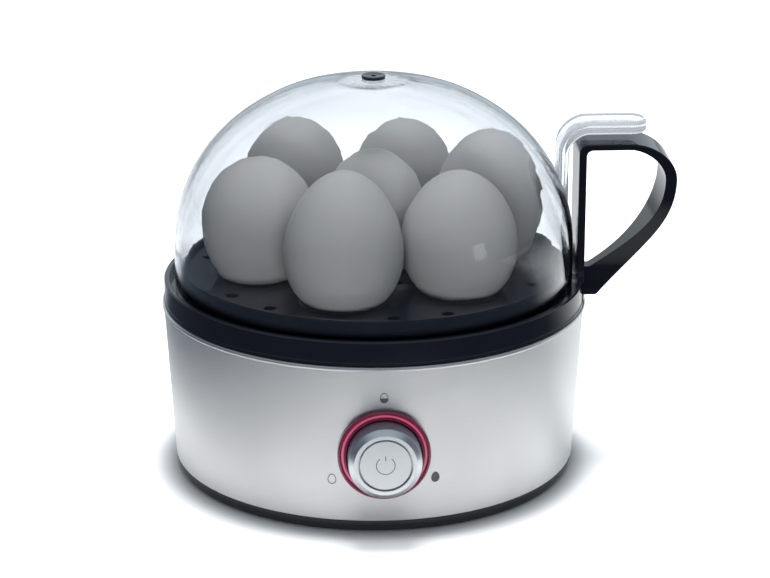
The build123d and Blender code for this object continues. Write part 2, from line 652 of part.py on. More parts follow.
def inner_body():
    """Moulded ring that carries the dish, with four screw posts and two legs for the controls."""
    side = steel_radius(BODY_RING_LOW) - STEEL_WALL - BODY_SIDE_GAP
    body = turned([
        (BODY_LEDGE_RADIUS, BODY_RING_LOW),
        (side, BODY_RING_LOW),
        (side, BODY_RING_HIGH),
        (BODY_SEAT_RADIUS, BODY_RING_HIGH),
        (BODY_SEAT_RADIUS, BODY_SEAT_Z),
        (BODY_UPSTAND_RADIUS, BODY_SEAT_Z),
        (BODY_UPSTAND_RADIUS, BODY_LEDGE_Z),
        (BODY_LEDGE_RADIUS, BODY_LEDGE_Z),
    ])
    post_height = BODY_RING_LOW + OVERRUN - POST_LOW
    post = Cylinder(POST_RADIUS, post_height, align=ON_BASE)
    post += Cylinder(POST_RADIUS + POST_SHOULDER, SHIELD_Z - POST_LOW, align=ON_BASE)
    core = Cylinder(PAN_SCREW_RADIUS + SCREW_GAP, PAN_SCREW_LENGTH, align=ON_BASE)
    dish = Cone(DISH_FLOOR_RADIUS + DISH_GAP, DISH_RIM_RADIUS + DISH_GAP, DISH_DEPTH, align=ON_BASE)
    dish = Pos(POST_DISH_GAP - POST_CIRCLE, 0, DISH_UNDERSIDE) * dish
    post = Pos(0, 0, POST_LOW) * post - dish
    for angle in POST_ANGLES:
        body += at(angle, POST_CIRCLE, post)
        body -= at(angle, POST_CIRCLE, Pos(0, 0, POST_LOW) * core)
    leg_height = BODY_RING_LOW + OVERRUN - LEG_LOW
    leg = Box(LEG_WIDTH, LEG_DEPTH, leg_height, align=(Align.CENTER, Align.MIN, Align.MIN))
    for x in (-LEG_X, LEG_X):
        body += Pos(x, -BRACKET_BACK, LEG_LOW) * leg
    for x, y in both_ways(LEG_X, LEG_SCREW_RISE):
        body -= FRONT * Pos(x, y, BRACKET_BACK) * Rot(180, 0, 0) * screw_core(SMALL_SCREW_LENGTH)
    return body


# ---- heating
def water_dish():
    """Pressed steel water dish with a flat flange and four welded studs."""
    middle = DISH_FLANGE_LOW + DISH_WALL / 2
    floor = DISH_UNDERSIDE + DISH_WALL / 2
    line = FilletPolyline(
        (0, floor),
        (DISH_FLOOR_RADIUS, floor),
        (DISH_RIM_RADIUS, middle),
        (DISH_FLANGE_RADIUS, middle),
        radius=[DISH_FLOOR_BEND, DISH_FLANGE_BEND],
    )
    dish = revolve(Plane.XZ * trace(line, DISH_WALL), Axis.Z)
    stud = Pos(0, 0, floor) * Cylinder(STUD_RADIUS, STUD_LENGTH, align=BELOW)
    for angle in CLAMP_ANGLES:
        dish += at(angle, STUD_CIRCLE, stud)
    return dish


def dish_gasket():
    """Silicone ring between the ledge and the dish's flange."""
    return ring(DISH_FLANGE_RADIUS, BODY_LEDGE_RADIUS + GASKET_INSET, BODY_LEDGE_Z, DISH_FLANGE_LOW)


def dish_clamps():
    """Four bent strips on the studs that hook under the ledge."""
    hook = BODY_RING_LOW - CLAMP_WALL / 2
    side = BODY_LEDGE_RADIUS - CLAMP_GAP
    points = [
        (STUD_CIRCLE - CLAMP_TAIL, CLAMP_LINE),
        (side, CLAMP_LINE),
        (side, hook),
        (BODY_LEDGE_RADIUS + CLAMP_HOOK, hook),
    ]
    clamp = strip(points, [CLAMP_BEND, CLAMP_BEND], CLAMP_WIDTH, CLAMP_WALL)
    clamp -= Pos(STUD_CIRCLE, 0, CLAMP_LINE) * Cylinder(STUD_RADIUS + HOLE_GAP, 2 * CLAMP_WALL)
    return [Rot(0, 0, angle) * clamp for angle in CLAMP_ANGLES]


def clamp_nuts():
    """Four hexagon nuts under the clamps."""
    low = CLAMP_LINE - CLAMP_WALL / 2 - NUT_HEIGHT
    nut = extrude(RegularPolygon(NUT_ACROSS_FLATS / 2, 6, major_radius=False), NUT_HEIGHT)
    nut -= Cylinder(STUD_RADIUS + SCREW_GAP, NUT_HEIGHT, align=ON_BASE)
    return [at(angle, STUD_CIRCLE, Pos(0, 0, low) * nut) for angle in CLAMP_ANGLES]


def element_end(side):
    """Points of one end of the element: foot of the tail, start of the bend, its middle and its top."""
    turn = math.pi / 2 - side * math.radians(ELEMENT_GAP_ANGLE / 2)
    top = Vector(ELEMENT_CIRCLE * math.cos(turn), ELEMENT_CIRCLE * math.sin(turn), ELEMENT_Z)
    along = Vector(-side * math.sin(turn), side * math.cos(turn), 0)
    up = Vector(0, 0, 1)
    centre = top - up * ELEMENT_BEND
    bend = centre + along * ELEMENT_BEND
    middle = centre + (along + up) * (ELEMENT_BEND * math.sqrt(0.5))
    return bend - up * ELEMENT_TAIL, bend, middle, top


def heating_element():
    """Sheathed tubular element, an open ring with both ends turned down, and its two pins."""
    left_foot, left_bend, left_middle, left_top = element_end(-1)
    right_foot, right_bend, right_middle, right_top = element_end(1)
    path = Wire([
        Line(left_foot, left_bend),
        ThreePointArc(left_bend, left_middle, left_top),
        ThreePointArc(left_top, Vector(0, -ELEMENT_CIRCLE, ELEMENT_Z), right_top),
        ThreePointArc(right_top, right_middle, right_bend),
        Line(right_bend, right_foot),
    ])
    section = Plane(origin=left_foot, z_dir=(0, 0, 1)) * Circle(ELEMENT_RADIUS)
    element = sweep(section, path=path)
    pin = Cylinder(ELEMENT_PIN_RADIUS, ELEMENT_PIN_LENGTH + OVERRUN, align=BELOW)
    for foot in (left_foot, right_foot):
        element += Pos(foot.X, foot.Y, foot.Z + OVERRUN) * pin
    return element


def heat_spreader():
    """Aluminium disc under the dish, grooved for the element and bored for the thermostat."""
    spreader = ring(SPREADER_RADIUS, SPREADER_BORE, SPREADER_LOW, DISH_UNDERSIDE)
    spreader -= Pos(0, 0, ELEMENT_Z) * Torus(ELEMENT_CIRCLE, ELEMENT_RADIUS + SCREW_GAP)
    for x in (-THERMOSTAT_SCREW_X, THERMOSTAT_SCREW_X):
        spreader -= Pos(x, 0, SPREADER_LOW) * screw_core(THERMOSTAT_SCREW_LENGTH - EDGE_BREAK)
    return spreader


def thermostat():
    """Disc thermostat pressed against the middle of the dish."""
    plate_low = SPREADER_LOW - THERMOSTAT_SHOULDER
    low = DISH_UNDERSIDE - THERMOSTAT_HEIGHT
    wide = THERMOSTAT_RADIUS + THERMOSTAT_SHOULDER
    body = turned([
        (0, low),
        (THERMOSTAT_RADIUS - THERMOSTAT_SHOULDER, low),
        (wide, low + THERMOSTAT_CAP),
        (wide, plate_low),
        (THERMOSTAT_RADIUS, plate_low),
        (THERMOSTAT_RADIUS, DISH_UNDERSIDE - EDGE_BREAK),
        (THERMOSTAT_RADIUS - EDGE_BREAK, DISH_UNDERSIDE),
        (0, DISH_UNDERSIDE),
    ])
    tab = Box(*THERMOSTAT_TAB, align=BELOW)
    for x in (-THERMOSTAT_TAB_X, THERMOSTAT_TAB_X):
        body += Pos(x, 0, low) * tab
    return body


def thermostat_plate():
    """Spring plate that holds the thermostat up under its shoulder."""
    plate = extrude(RectangleRounded(*THERMOSTAT_PLATE, THERMOSTAT_PLATE_CORNER), THERMOSTAT_SHOULDER)
    plate -= Cylinder(THERMOSTAT_RADIUS + SLIDE_GAP, THROUGH)
    for x in (-THERMOSTAT_SCREW_X, THERMOSTAT_SCREW_X):
        plate -= Pos(x, 0, 0) * Cylinder(SMALL_SCREW_RADIUS + HOLE_GAP, THROUGH)
    return Pos(0, 0, SPREADER_LOW - THERMOSTAT_SHOULDER) * plate


def thermostat_screws():
    """Two screws up into the spreader."""
    low = SPREADER_LOW - THERMOSTAT_SHOULDER
    screw = Rot(180, 0, 0) * small_screw(THERMOSTAT_SCREW_LENGTH)
    return [Pos(x, 0, low) * screw for x in (-THERMOSTAT_SCREW_X, THERMOSTAT_SCREW_X)]


def thermal_fuse():
    """Thermal fuse lying under the spreader, with its two leads."""
    fuse = Cylinder(FUSE_RADIUS, FUSE_LENGTH)
    fuse += Cylinder(FUSE_LEAD_RADIUS, FUSE_LENGTH + 2 * FUSE_LEAD_LENGTH)
    return at(FUSE_ANGLE, FUSE_CIRCLE, Pos(0, 0, SPREADER_LOW - FUSE_RADIUS) * Rot(90, 0, 0) * fuse)


def fuse_clip():
    """Saddle that holds the fuse against the spreader."""
    reach = FUSE_RADIUS + FUSE_CLIP_WALL / 2 + SLIDE_GAP
    high = -FUSE_CLIP_WALL / 2
    low = -2 * FUSE_RADIUS - FUSE_CLIP_WALL / 2 - SLIDE_GAP
    left = [(-FUSE_CLIP_REACH, high), (-reach, high), (-reach, low)]
    right = [(-x, z) for x, z in reversed(left)]
    saddle = strip(left + right, FUSE_CLIP_WALL, FUSE_CLIP_WIDTH, FUSE_CLIP_WALL)
    return at(FUSE_ANGLE, FUSE_CIRCLE, Pos(0, 0, SPREADER_LOW) * saddle)


def heat_shield():
    """Thin disc on the posts' shoulders, cut back over the controls and open for the element's tails."""
    shield = disc(SHIELD_RADIUS, SHIELD_Z, SHIELD_Z + SHIELD_WALL)
    notch = Box(2 * SHIELD_NOTCH_X, SHIELD_RADIUS, THROUGH, align=(Align.CENTER, Align.MAX, Align.CENTER))
    shield -= Pos(0, SHIELD_NOTCH_Y, SHIELD_Z) * notch
    hole = Cylinder(POST_RADIUS + HOLE_GAP, THROUGH)
    for angle in POST_ANGLES:
        shield -= at(angle, POST_CIRCLE, Pos(0, 0, SHIELD_Z) * hole)
    window = extrude(RectangleRounded(*SHIELD_WINDOW, THERMOSTAT_PLATE_CORNER), THROUGH / 2, both=True)
    return shield - Pos(0, ELEMENT_CIRCLE, SHIELD_Z) * window


# ---- controls
def light_ring():
    """Translucent ring around the knob, with two crests, a channel and a neck through the housing."""
    front = LIGHT_RING_FRONT
    crest_in = LIGHT_RING_BORE + LIGHT_RING_CREST
    crest_out = LIGHT_RING_RADIUS - LIGHT_RING_CREST
    channel = ThreePointArc(
        (crest_in, 0, front),
        ((crest_in + crest_out) / 2, 0, front - LIGHT_RING_CHANNEL),
        (crest_out, 0, front),
    )
    inner_crest = arc_about((crest_in, front - LIGHT_RING_CREST), LIGHT_RING_CREST, 180, 90)
    outer_crest = arc_about((crest_out, front - LIGHT_RING_CREST), LIGHT_RING_CREST, 90, 0)
    back = Polyline(
        (LIGHT_RING_RADIUS, 0, front - LIGHT_RING_CREST),
        (LIGHT_RING_RADIUS, 0, COLLAR_FRONT),
        (LIGHT_RING_BORE, 0, COLLAR_FRONT),
        (LIGHT_RING_BORE, 0, front - LIGHT_RING_CREST),
    )
    flange = FRONT * revolve(make_face([inner_crest, channel, outer_crest, back]), Axis.Z)
    flange -= housing_cone(SEAT_GAP)
    flange = flange.solids().sort_by(Axis.Y)[0]
    neck = front_disc(LIGHT_NECK_RADIUS, LIGHT_NECK_BACK, front - 2 * LIGHT_RING_CREST)
    return flange + (neck - front_disc(LIGHT_RING_BORE, LIGHT_NECK_BACK - OVERRUN, front))


def knob_shell():
    """Turned metal knob with a coned shoulder and an open front for the button."""
    side_front = KNOB_FACE - KNOB_SHOULDER
    lip_back = KNOB_FACE - KNOB_LIP
    return FRONT * turned([
        (KNOB_INSIDE, KNOB_BACK),
        (KNOB_RADIUS - FINE_EDGE, KNOB_BACK),
        (KNOB_RADIUS, KNOB_BACK + FINE_EDGE),
        (KNOB_RADIUS, side_front - 2 * FINE_EDGE),
        (KNOB_RADIUS - FINE_EDGE, side_front),
        (KNOB_FACE_RADIUS + FINE_EDGE, KNOB_FACE - FINE_EDGE),
        (KNOB_FACE_RADIUS, KNOB_FACE),
        (KNOB_OPENING + FINE_EDGE, KNOB_FACE),
        (KNOB_OPENING, KNOB_FACE - FINE_EDGE),
        (KNOB_OPENING, lip_back),
        (KNOB_INSIDE - KNOB_LIP, lip_back),
        (KNOB_INSIDE, lip_back - KNOB_LIP),
    ])


def knob_hub():
    """Moulded hub pressed into the shell and slid onto the rotary sensor's shaft."""
    back = HUB_FRONT - HUB_DEPTH
    hub = front_disc(HUB_RADIUS, HUB_BACK, HUB_FRONT)
    hub += front_disc(KNOB_INSIDE, HUB_FRONT - HUB_WEB, HUB_FRONT)
    hub += front_disc(KNOB_INSIDE, back, HUB_FRONT) - front_disc(KNOB_INSIDE - HUB_RIB, back, HUB_FRONT)
    rib = Box(2 * KNOB_INSIDE - HUB_RIB, HUB_RIB, HUB_DEPTH, align=ON_BASE)
    for turn in (0, 60, 120):
        hub += FRONT * Pos(0, 0, back) * Rot(0, 0, turn) * rib
    return hub - front_disc(SHAFT_RADIUS, HUB_BACK - OVERRUN, HUB_FRONT + OVERRUN)


def pot_rotor():
    """Hollow shaft and rotor disc of the rotary sensor."""
    rotor = front_disc(ROTOR_RADIUS, ROTOR_BACK, ROTOR_BACK + ROTOR_WALL)
    rotor += front_disc(SHAFT_RADIUS, ROTOR_BACK, HUB_FRONT)
    return rotor - front_disc(SHAFT_BORE, ROTOR_BACK - OVERRUN, HUB_FRONT + OVERRUN)


def rotary_pot():
    """Housing of the rotary sensor, open for the shaft and with a chamber for the rotor."""
    low = ROTOR_BACK - ROTOR_SLACK
    front = BOARD_FRONT + SENSOR_HEIGHT
    sensor = front_disc(SENSOR_RADIUS, BOARD_FRONT, front)
    sensor -= front_disc(ROTOR_RADIUS + 2 * ROTOR_SLACK, low, ROTOR_BACK + ROTOR_WALL + ROTOR_SLACK)
    sensor -= front_disc(SHAFT_RADIUS + SHAFT_RUNNING_GAP, low, front + OVERRUN)
    return sensor - front_disc(SHAFT_BORE, BOARD_FRONT - OVERRUN, low)


def push_button():
    """Round button with a retaining flange and a stem that runs through the hollow shaft."""
    button = front_disc(BUTTON_RADIUS, BUTTON_BACK, BUTTON_FRONT)
    button = chamfer(button.edges().group_by(Axis.Y)[0], FINE_EDGE)
    button += front_disc(KNOB_OPENING + BUTTON_OVERLAP, BUTTON_BACK, BUTTON_FLANGE_FRONT)
    return button + front_disc(BUTTON_STEM_RADIUS, STEM_BACK, BUTTON_BACK + EDGE_BREAK)


def switch_plunger():
    """Sprung plunger of the push switch, against the end of the button's stem."""
    return front_disc(PLUNGER_RADIUS, STEM_BACK - PLUNGER_LENGTH, STEM_BACK)


def push_switch():
    """Push switch on the back of the control board, bored for its plunger."""
    bottom = STEM_BACK - PLUNGER_LENGTH - BUTTON_TRAVEL - PLUNGER_SLACK
    switch = front_box(SWITCH_SIZE, SWITCH_SIZE, BOARD_BACK - SWITCH_DEPTH, BOARD_BACK)
    return switch - front_disc(PLUNGER_RADIUS + PLUNGER_GAP, bottom, BOARD_BACK + OVERRUN)


def control_bracket():
    """Bracket with a collar for the light ring, standoffs for the board and two screw ears."""
    bracket = front_box(BRACKET_WIDTH, BRACKET_HEIGHT, BRACKET_BACK, BRACKET_FRONT)
    bracket += front_disc(COLLAR_RADIUS, BRACKET_BACK, COLLAR_FRONT)
    bracket -= front_disc(COLLAR_BORE, LIGHT_NECK_BACK, COLLAR_FRONT + OVERRUN)
    bracket -= front_disc(BRACKET_OPENING, BRACKET_BACK - OVERRUN, COLLAR_FRONT)
    standoff = Cylinder(STANDOFF_RADIUS, STANDOFF + OVERRUN, align=ON_BASE)
    for x, y in both_ways(STANDOFF_X, STANDOFF_Y):
        bracket += FRONT * Pos(x, y, BOARD_FRONT) * standoff
        bracket -= FRONT * Pos(x, y, BOARD_FRONT) * screw_core(STANDOFF_CORE)
    for x, y in both_ways(LEG_X, LEG_SCREW_RISE):
        hole = Cylinder(SMALL_SCREW_RADIUS + HOLE_GAP, 2 * BRACKET_PLATE + OVERRUN)
        bracket -= FRONT * Pos(x, y, BRACKET_FRONT) * hole
    return bracket


def bracket_screws():
    """Four screws through the bracket's ears into the legs."""
    return [FRONT * Pos(x, y, BRACKET_FRONT) * small_screw() for x, y in both_ways(LEG_X, LEG_SCREW_RISE)]


def board_screws():
    """Four screws that hold the control board to the standoffs."""
    screw = Rot(180, 0, 0) * small_screw(SMALL_SCREW_LENGTH + EDGE_BREAK)
    return [FRONT * Pos(x, y, BOARD_BACK) * screw for x, y in both_ways(STANDOFF_X, STANDOFF_Y)]


def control_board():
    """Printed board behind the knob, bored for the plunger and its screws."""
    board = front_box(BOARD_WIDTH, BRACKET_HEIGHT, BOARD_BACK, BOARD_FRONT)
    board -= front_disc(PLUNGER_RADIUS + EDGE_BREAK, BOARD_BACK - OVERRUN, BOARD_FRONT + OVERRUN)
    hole = Cylinder(SMALL_SCREW_RADIUS + HOLE_GAP, 2 * BOARD_WALL + OVERRUN)
    for x, y in both_ways(STANDOFF_X, STANDOFF_Y):
        board -= FRONT * Pos(x, y, BOARD_FRONT) * hole
    return board


def indicator_leds():
    """Surface-mounted lamps under the light ring's neck."""
    led = Pos(LED_CIRCLE, 0, BOARD_FRONT) * Box(*LED_SIZE, align=ON_BASE)
    return [FRONT * Rot(0, 0, 45 + 360 * k / LED_COUNT) * led for k in range(LED_COUNT)]


# ---- power electronics
def power_board():
    """Main board on the pan's posts."""
    board = Box(*POWER_BOARD_SIZE, BOARD_WALL, align=ON_BASE)
    board = Pos(0, POWER_BOARD_Y, POWER_BOARD_Z) * board
    for x, y in power_posts():
        board -= Pos(x, y, POWER_BOARD_Z) * Cylinder(SMALL_SCREW_RADIUS + HOLE_GAP, 2 * BOARD_WALL + OVERRUN)
    return board


def power_board_screws():
    """Four screws down into the pan's posts."""
    screw = small_screw(SMALL_SCREW_LENGTH + EDGE_BREAK)
    return [Pos(x, y, POWER_BOARD_TOP) * screw for x, y in power_posts()]


def on_board(place, shape):
    """A component standing on the power board."""
    return Pos(place[0], POWER_BOARD_Y + place[1], POWER_BOARD_TOP) * shape


def relay():
    """Sealed relay that switches the element."""
    can = Box(*RELAY_SIZE, align=ON_BASE)
    can = fillet(can.edges().filter_by(Axis.Z), 2 * EDGE_BREAK)
    return on_board(RELAY_PLACE, chamfer(can.edges().group_by(Axis.Z)[-1], EDGE_BREAK))


def transformer():
    """Small mains transformer: a laminated core around a wound bobbin."""
    coil_width, coil_depth, coil_height = TRANSFORMER_COIL
    yoke = (TRANSFORMER_CORE[2] - coil_height) / 2
    core = Box(*TRANSFORMER_CORE, align=ON_BASE)
    core -= Pos(0, 0, yoke) * Box(coil_width, THROUGH, coil_height, align=ON_BASE)
    core += Pos(0, 0, yoke) * Box(TRANSFORMER_LIMB, TRANSFORMER_CORE[1], coil_height, align=ON_BASE)
    coil = Pos(0, 0, yoke) * Box(coil_width, coil_depth, coil_height, align=ON_BASE)
    coil = fillet(coil.edges().filter_by(Axis.Z), yoke / 2)
    return on_board(TRANSFORMER_PLACE, core + coil)


def smoothing_capacitor():
    """Upright electrolytic capacitor with a grooved can."""
    can = Cylinder(CAPACITOR_RADIUS, CAPACITOR_HEIGHT, align=ON_BASE)
    can = fillet(can.edges().group_by(Axis.Z)[-1], EDGE_BREAK)
    groove = Torus(CAPACITOR_RADIUS + CAPACITOR_GROOVE / 2, CAPACITOR_GROOVE)
    return on_board(CAPACITOR_PLACE, can - Pos(0, 0, CAPACITOR_GROOVE_Z) * groove)


def buzzer():
    """Round sounder with a hole in its top."""
    can = Cylinder(BUZZER_RADIUS, BUZZER_HEIGHT, align=ON_BASE)
    hole = Pos(0, 0, BUZZER_HEIGHT / 2) * Cylinder(BUZZER_HOLE, BUZZER_HEIGHT, align=ON_BASE)
    return on_board(BUZZER_PLACE, can - hole)


def terminal_block():
    """Three-way terminal block on the pan, between the board and the cord outlet."""
    width, depth, height = TERMINAL_SIZE
    block = Box(width, depth, height, align=ON_BASE)
    block -= Pos(0, 0, height) * Box(TERMINAL_SLOT, THROUGH, height / 2)
    for x in (-TERMINAL_PITCH, 0.0, TERMINAL_PITCH):
        block -= Pos(x, 0, TERMINAL_WIRE_Z) * Rot(90, 0, 0) * Cylinder(TERMINAL_WIRE_RADIUS, THROUGH)
        block -= Pos(x, 0, TERMINAL_WIRE_Z) * Cylinder(TERMINAL_SCREW_RADIUS, height, align=ON_BASE)
    return Pos(0, TERMINAL_Y, PAN_FLOOR_HIGH) * block


def outlet_bush():
    """Bush in the back of the housing that the mains lead leaves through."""
    front = OUTLET_FACE + OUTLET_PROUD
    flange = turned([
        (0, OUTLET_BACK),
        (OUTLET_FLANGE, OUTLET_BACK),
        (OUTLET_FLANGE, front - OUTLET_PROUD / 3),
        (OUTLET_FLANGE - OUTLET_PROUD / 3, front),
        (0, front),
    ])
    bush = BACKWARD * flange - housing_cone(SEAT_GAP)
    lip_radius = OUTLET_NECK + OUTLET_LIP
    neck = turned([
        (0, OUTLET_BACK),
        (lip_radius - EDGE_BREAK, OUTLET_BACK),
        (lip_radius, OUTLET_BACK + 2 * OUTLET_LIP_WALL / 3),
        (lip_radius, OUTLET_BACK + OUTLET_LIP_WALL),
        (OUTLET_NECK, OUTLET_BACK + OUTLET_LIP_WALL),
        (OUTLET_NECK, OUTLET_FACE + EDGE_BREAK),
        (0, OUTLET_FACE + EDGE_BREAK),
    ])
    bush += BACKWARD * neck
    return bush - BACKWARD * Pos(0, 0, OUTLET_FACE) * Cylinder(OUTLET_BORE, THROUGH)


# ---- egg tray
def egg_seat():
    """Coned seat with a raised lip, in one piece with the deck, before it is bored."""
    lip = TRAY_DECK_HIGH + SEAT_LIP
    return turned([
        (0, TRAY_DECK_HIGH - SEAT_DEPTH),
        (SEAT_LOW_RADIUS + SEAT_WALL, TRAY_DECK_HIGH - SEAT_DEPTH),
        (SEAT_TOP_RADIUS + SEAT_WALL, TRAY_DECK_HIGH),
        (SEAT_TOP_RADIUS + SEAT_WALL / 2, lip),
        (0, lip),
    ])


def seat_bore():
    """The open cone that an egg's end sits in."""
    top = TRAY_DECK_HIGH + SEAT_LIP
    low = TRAY_DECK_HIGH - SEAT_DEPTH
    slope = (SEAT_TOP_RADIUS - SEAT_LOW_RADIUS) / (top - low)
    return turned([
        (0, low - OVERRUN),
        (SEAT_LOW_RADIUS - slope * OVERRUN, low - OVERRUN),
        (SEAT_TOP_RADIUS + slope * OVERRUN, top + OVERRUN),
        (0, top + OVERRUN),
    ])


def tray_shell():
    """The tray's turned body: spigot, ring, lid groove, collar and deck."""
    inner_spigot = SPIGOT_RADIUS - TRAY_SPIGOT_WALL
    bead = TRAY_RING_RADIUS + TRAY_BEAD
    return turned([
        (inner_spigot, TRAY_LOW - TRAY_SPIGOT_DROP),
        (SPIGOT_RADIUS, TRAY_LOW - TRAY_SPIGOT_DROP),
        (SPIGOT_RADIUS, TRAY_LOW),
        (TRAY_COLLAR_RADIUS, TRAY_LOW),
        (TRAY_COLLAR_RADIUS, TRAY_FLOOR_LOW),
        (TRAY_GROOVE_RADIUS, TRAY_FLOOR_LOW),
        (TRAY_GROOVE_RADIUS, TRAY_LOW),
        (TRAY_RING_RADIUS, TRAY_LOW),
        (bead, TRAY_LOW + FINE_EDGE),
        (bead, TRAY_LOW + TRAY_BEAD_HEIGHT - TRAY_BEAD),
        (TRAY_RING_RADIUS, TRAY_LOW + TRAY_BEAD_HEIGHT),
        (TRAY_RING_RADIUS, TRAY_RING_HIGH - EDGE_BREAK),
        (TRAY_RING_RADIUS - EDGE_BREAK, TRAY_RING_HIGH),
        (TRAY_GROOVE_RADIUS + FINE_EDGE, TRAY_RING_HIGH),
        (TRAY_GROOVE_RADIUS, TRAY_RING_HIGH - FINE_EDGE),
        (TRAY_GROOVE_RADIUS, TRAY_FLOOR_HIGH),
        (TRAY_COLLAR_RADIUS, TRAY_FLOOR_HIGH),
        (TRAY_COLLAR_RADIUS, TRAY_COLLAR_HIGH - EDGE_BREAK),
        (TRAY_COLLAR_RADIUS - EDGE_BREAK, TRAY_COLLAR_HIGH),
        (DECK_RADIUS + FINE_EDGE, TRAY_COLLAR_HIGH),
        (DECK_RADIUS, TRAY_COLLAR_HIGH - FINE_EDGE),
        (DECK_RADIUS, TRAY_DECK_HIGH),
        (0, TRAY_DECK_HIGH),
        (0, TRAY_DECK_LOW),
        (inner_spigot, TRAY_DECK_LOW),
    ])


def handle_notch():
    """What the tray's ring loses where the handle's foot takes its place."""
    half = HANDLE_WIDTH / 2 + HANDLE_FLARE + HANDLE_FIT
    low = TRAY_LOW - OVERRUN
    high = TRAY_RING_HIGH + OVERRUN
    notch = ring(TRAY_RING_RADIUS + OVERRUN, TRAY_GROOVE_RADIUS, low, high)
    return notch & Pos(TRAY_RING_RADIUS, 0, TRAY_RING_HIGH) * Box(THROUGH, 2 * half, THROUGH)


def egg_tray():
    """Moulded tray: outer ring, lid groove, collar, deck, seven seats, ribs and steam holes."""
    tray = tray_shell()
    rib_start = STEAM_SLOT_CIRCLE + STEAM_SLOT_WIDTH
    rib_length = SPIGOT_RADIUS - TRAY_SPIGOT_WALL / 2 - rib_start
    rib = Box(rib_length, RIB_WALL, RIB_DEPTH + OVERRUN, align=(Align.MIN, Align.CENTER, Align.MIN))
    rib = Pos(rib_start, 0, TRAY_DECK_LOW - RIB_DEPTH) * rib
    steam_hole = Pos(0, 0, TRAY_DECK_LOW) * Cylinder(STEAM_HOLE_RADIUS, 2 * RIB_DEPTH)
    steam_slot = SlotOverall(STEAM_SLOT_LENGTH, STEAM_SLOT_WIDTH, rotation=90)
    steam_slot = Pos(0, 0, TRAY_DECK_LOW) * extrude(steam_slot, RIB_DEPTH, both=True)
    for angle in SEAT_ANGLES:
        tray += Rot(0, 0, angle + 30) * rib
        tray += at(angle, EGG_PITCH, egg_seat())
    tray += egg_seat()
    for angle in SEAT_ANGLES:
        tray -= at(angle, EGG_PITCH, seat_bore())
        tray -= at(angle + 30, STEAM_SLOT_CIRCLE, steam_slot)
        for side in (-STEAM_HOLE_SPREAD, STEAM_HOLE_SPREAD):
            tray -= at(angle + 30 + side, STEAM_HOLE_CIRCLE, steam_hole)
    tray -= seat_bore()
    tray -= handle_notch()
    sink = Cone(HANDLE_SCREW_RADIUS, HANDLE_SCREW_HEAD + SLIDE_GAP, HANDLE_SCREW_SINK, align=BELOW)
    hole = Cylinder(HANDLE_SCREW_RADIUS + SCREW_GAP, 2 * TRAY_FLOOR_WALL)
    for y in (-HANDLE_SCREW_Y, HANDLE_SCREW_Y):
        tray -= Pos(HANDLE_SCREW_X, y, TRAY_FLOOR_HIGH) * (sink + hole)
    return tray


def handle_outline():
    """Side view of the handle's loop: a straight post, a flat bar and a swept arm."""
    inner = HANDLE_IN
    top = HANDLE_TOP_Z
    bar_end = (TRAY_RING_RADIUS + HANDLE_BAR_OUT, top)
    bulge = (TRAY_RING_RADIUS + HANDLE_OUT, top - HANDLE_BULGE_DROP)
    root = (TRAY_RING_RADIUS + HANDLE_ROOT_OUT, TRAY_RING_HIGH - HANDLE_ROOT_DROP)
    tip = (TRAY_RING_RADIUS + HANDLE_TIP_OUT, HANDLE_TIP_Z)
    slope = (-1, HANDLE_ROOT_SLOPE)
    return make_face([
        Line((inner, HANDLE_TIP_Z), (inner, top - HANDLE_CORNER)),
        RadiusArc((inner, top - HANDLE_CORNER), (inner + HANDLE_CORNER, top), HANDLE_CORNER),
        Line((inner + HANDLE_CORNER, top), bar_end),
        Spline(bar_end, bulge, root, tangents=[(1, 0), (0, -1), slope], tangent_scalars=[1.2, 1, 1]),
        Spline(root, tip, tangents=[slope, (-1, 0)]),
        Line(tip, (inner, HANDLE_TIP_Z)),
    ])


def handle_hole():
    """Side view of the finger hole."""
    post = HANDLE_IN + HANDLE_WALL
    top = HANDLE_TOP_Z - HANDLE_BAR_WALL
    corner = HANDLE_HOLE_CORNER
    bar_end = (TRAY_RING_RADIUS + HANDLE_BAR_OUT, top)
    bulge = (TRAY_RING_RADIUS + HANDLE_OUT - HANDLE_ARM_WALL, top - HANDLE_BULGE_DROP + HANDLE_BAR_WALL)
    root = (TRAY_RING_RADIUS + HANDLE_HOLE_OUT, TRAY_RING_HIGH + HANDLE_HOLE_RISE)
    slope = (-1, HANDLE_HOLE_SLOPE)
    return make_face([
        Line((post, root[1] + corner / 2), (post, top - corner)),
        RadiusArc((post, top - corner), (post + corner, top), corner),
        Line((post + corner, top), bar_end),
        Spline(bar_end, bulge, root, tangents=[(1, 0), (0, -1), slope], tangent_scalars=[0.8, 1.2, 0.7]),
        Spline(root, (post, root[1] + corner / 2), tangents=[slope, (0, 1)]),
    ])


def handle_front():
    """Front view of the arm: full width above, narrowed in a long curve and flared at its root."""
    half = HANDLE_WIDTH / 2
    wide_z = HANDLE_TOP_Z - HANDLE_BULGE_DROP - HANDLE_ARM_WALL
    middle_z = (wide_z + TRAY_RING_HIGH) / 2
    root = HANDLE_ROOT_WIDTH / 2
    foot = root + HANDLE_ROOT_FLARE
    over = HANDLE_TOP_Z + OVERRUN
    right = Spline(
        (half, wide_z),
        ((half + root) / 2, middle_z),
        (root, TRAY_RING_HIGH),
        (foot, HANDLE_TIP_Z),
        tangents=[(0, -1), (1, -1)],
    )
    left = mirror(right, about=Plane.YZ)
    bottom = Line((foot, HANDLE_TIP_Z), (-foot, HANDLE_TIP_Z))
    top = Polyline((half, wide_z), (half, over), (-half, over), (-half, wide_z))
    return make_face([right, bottom, left, top])


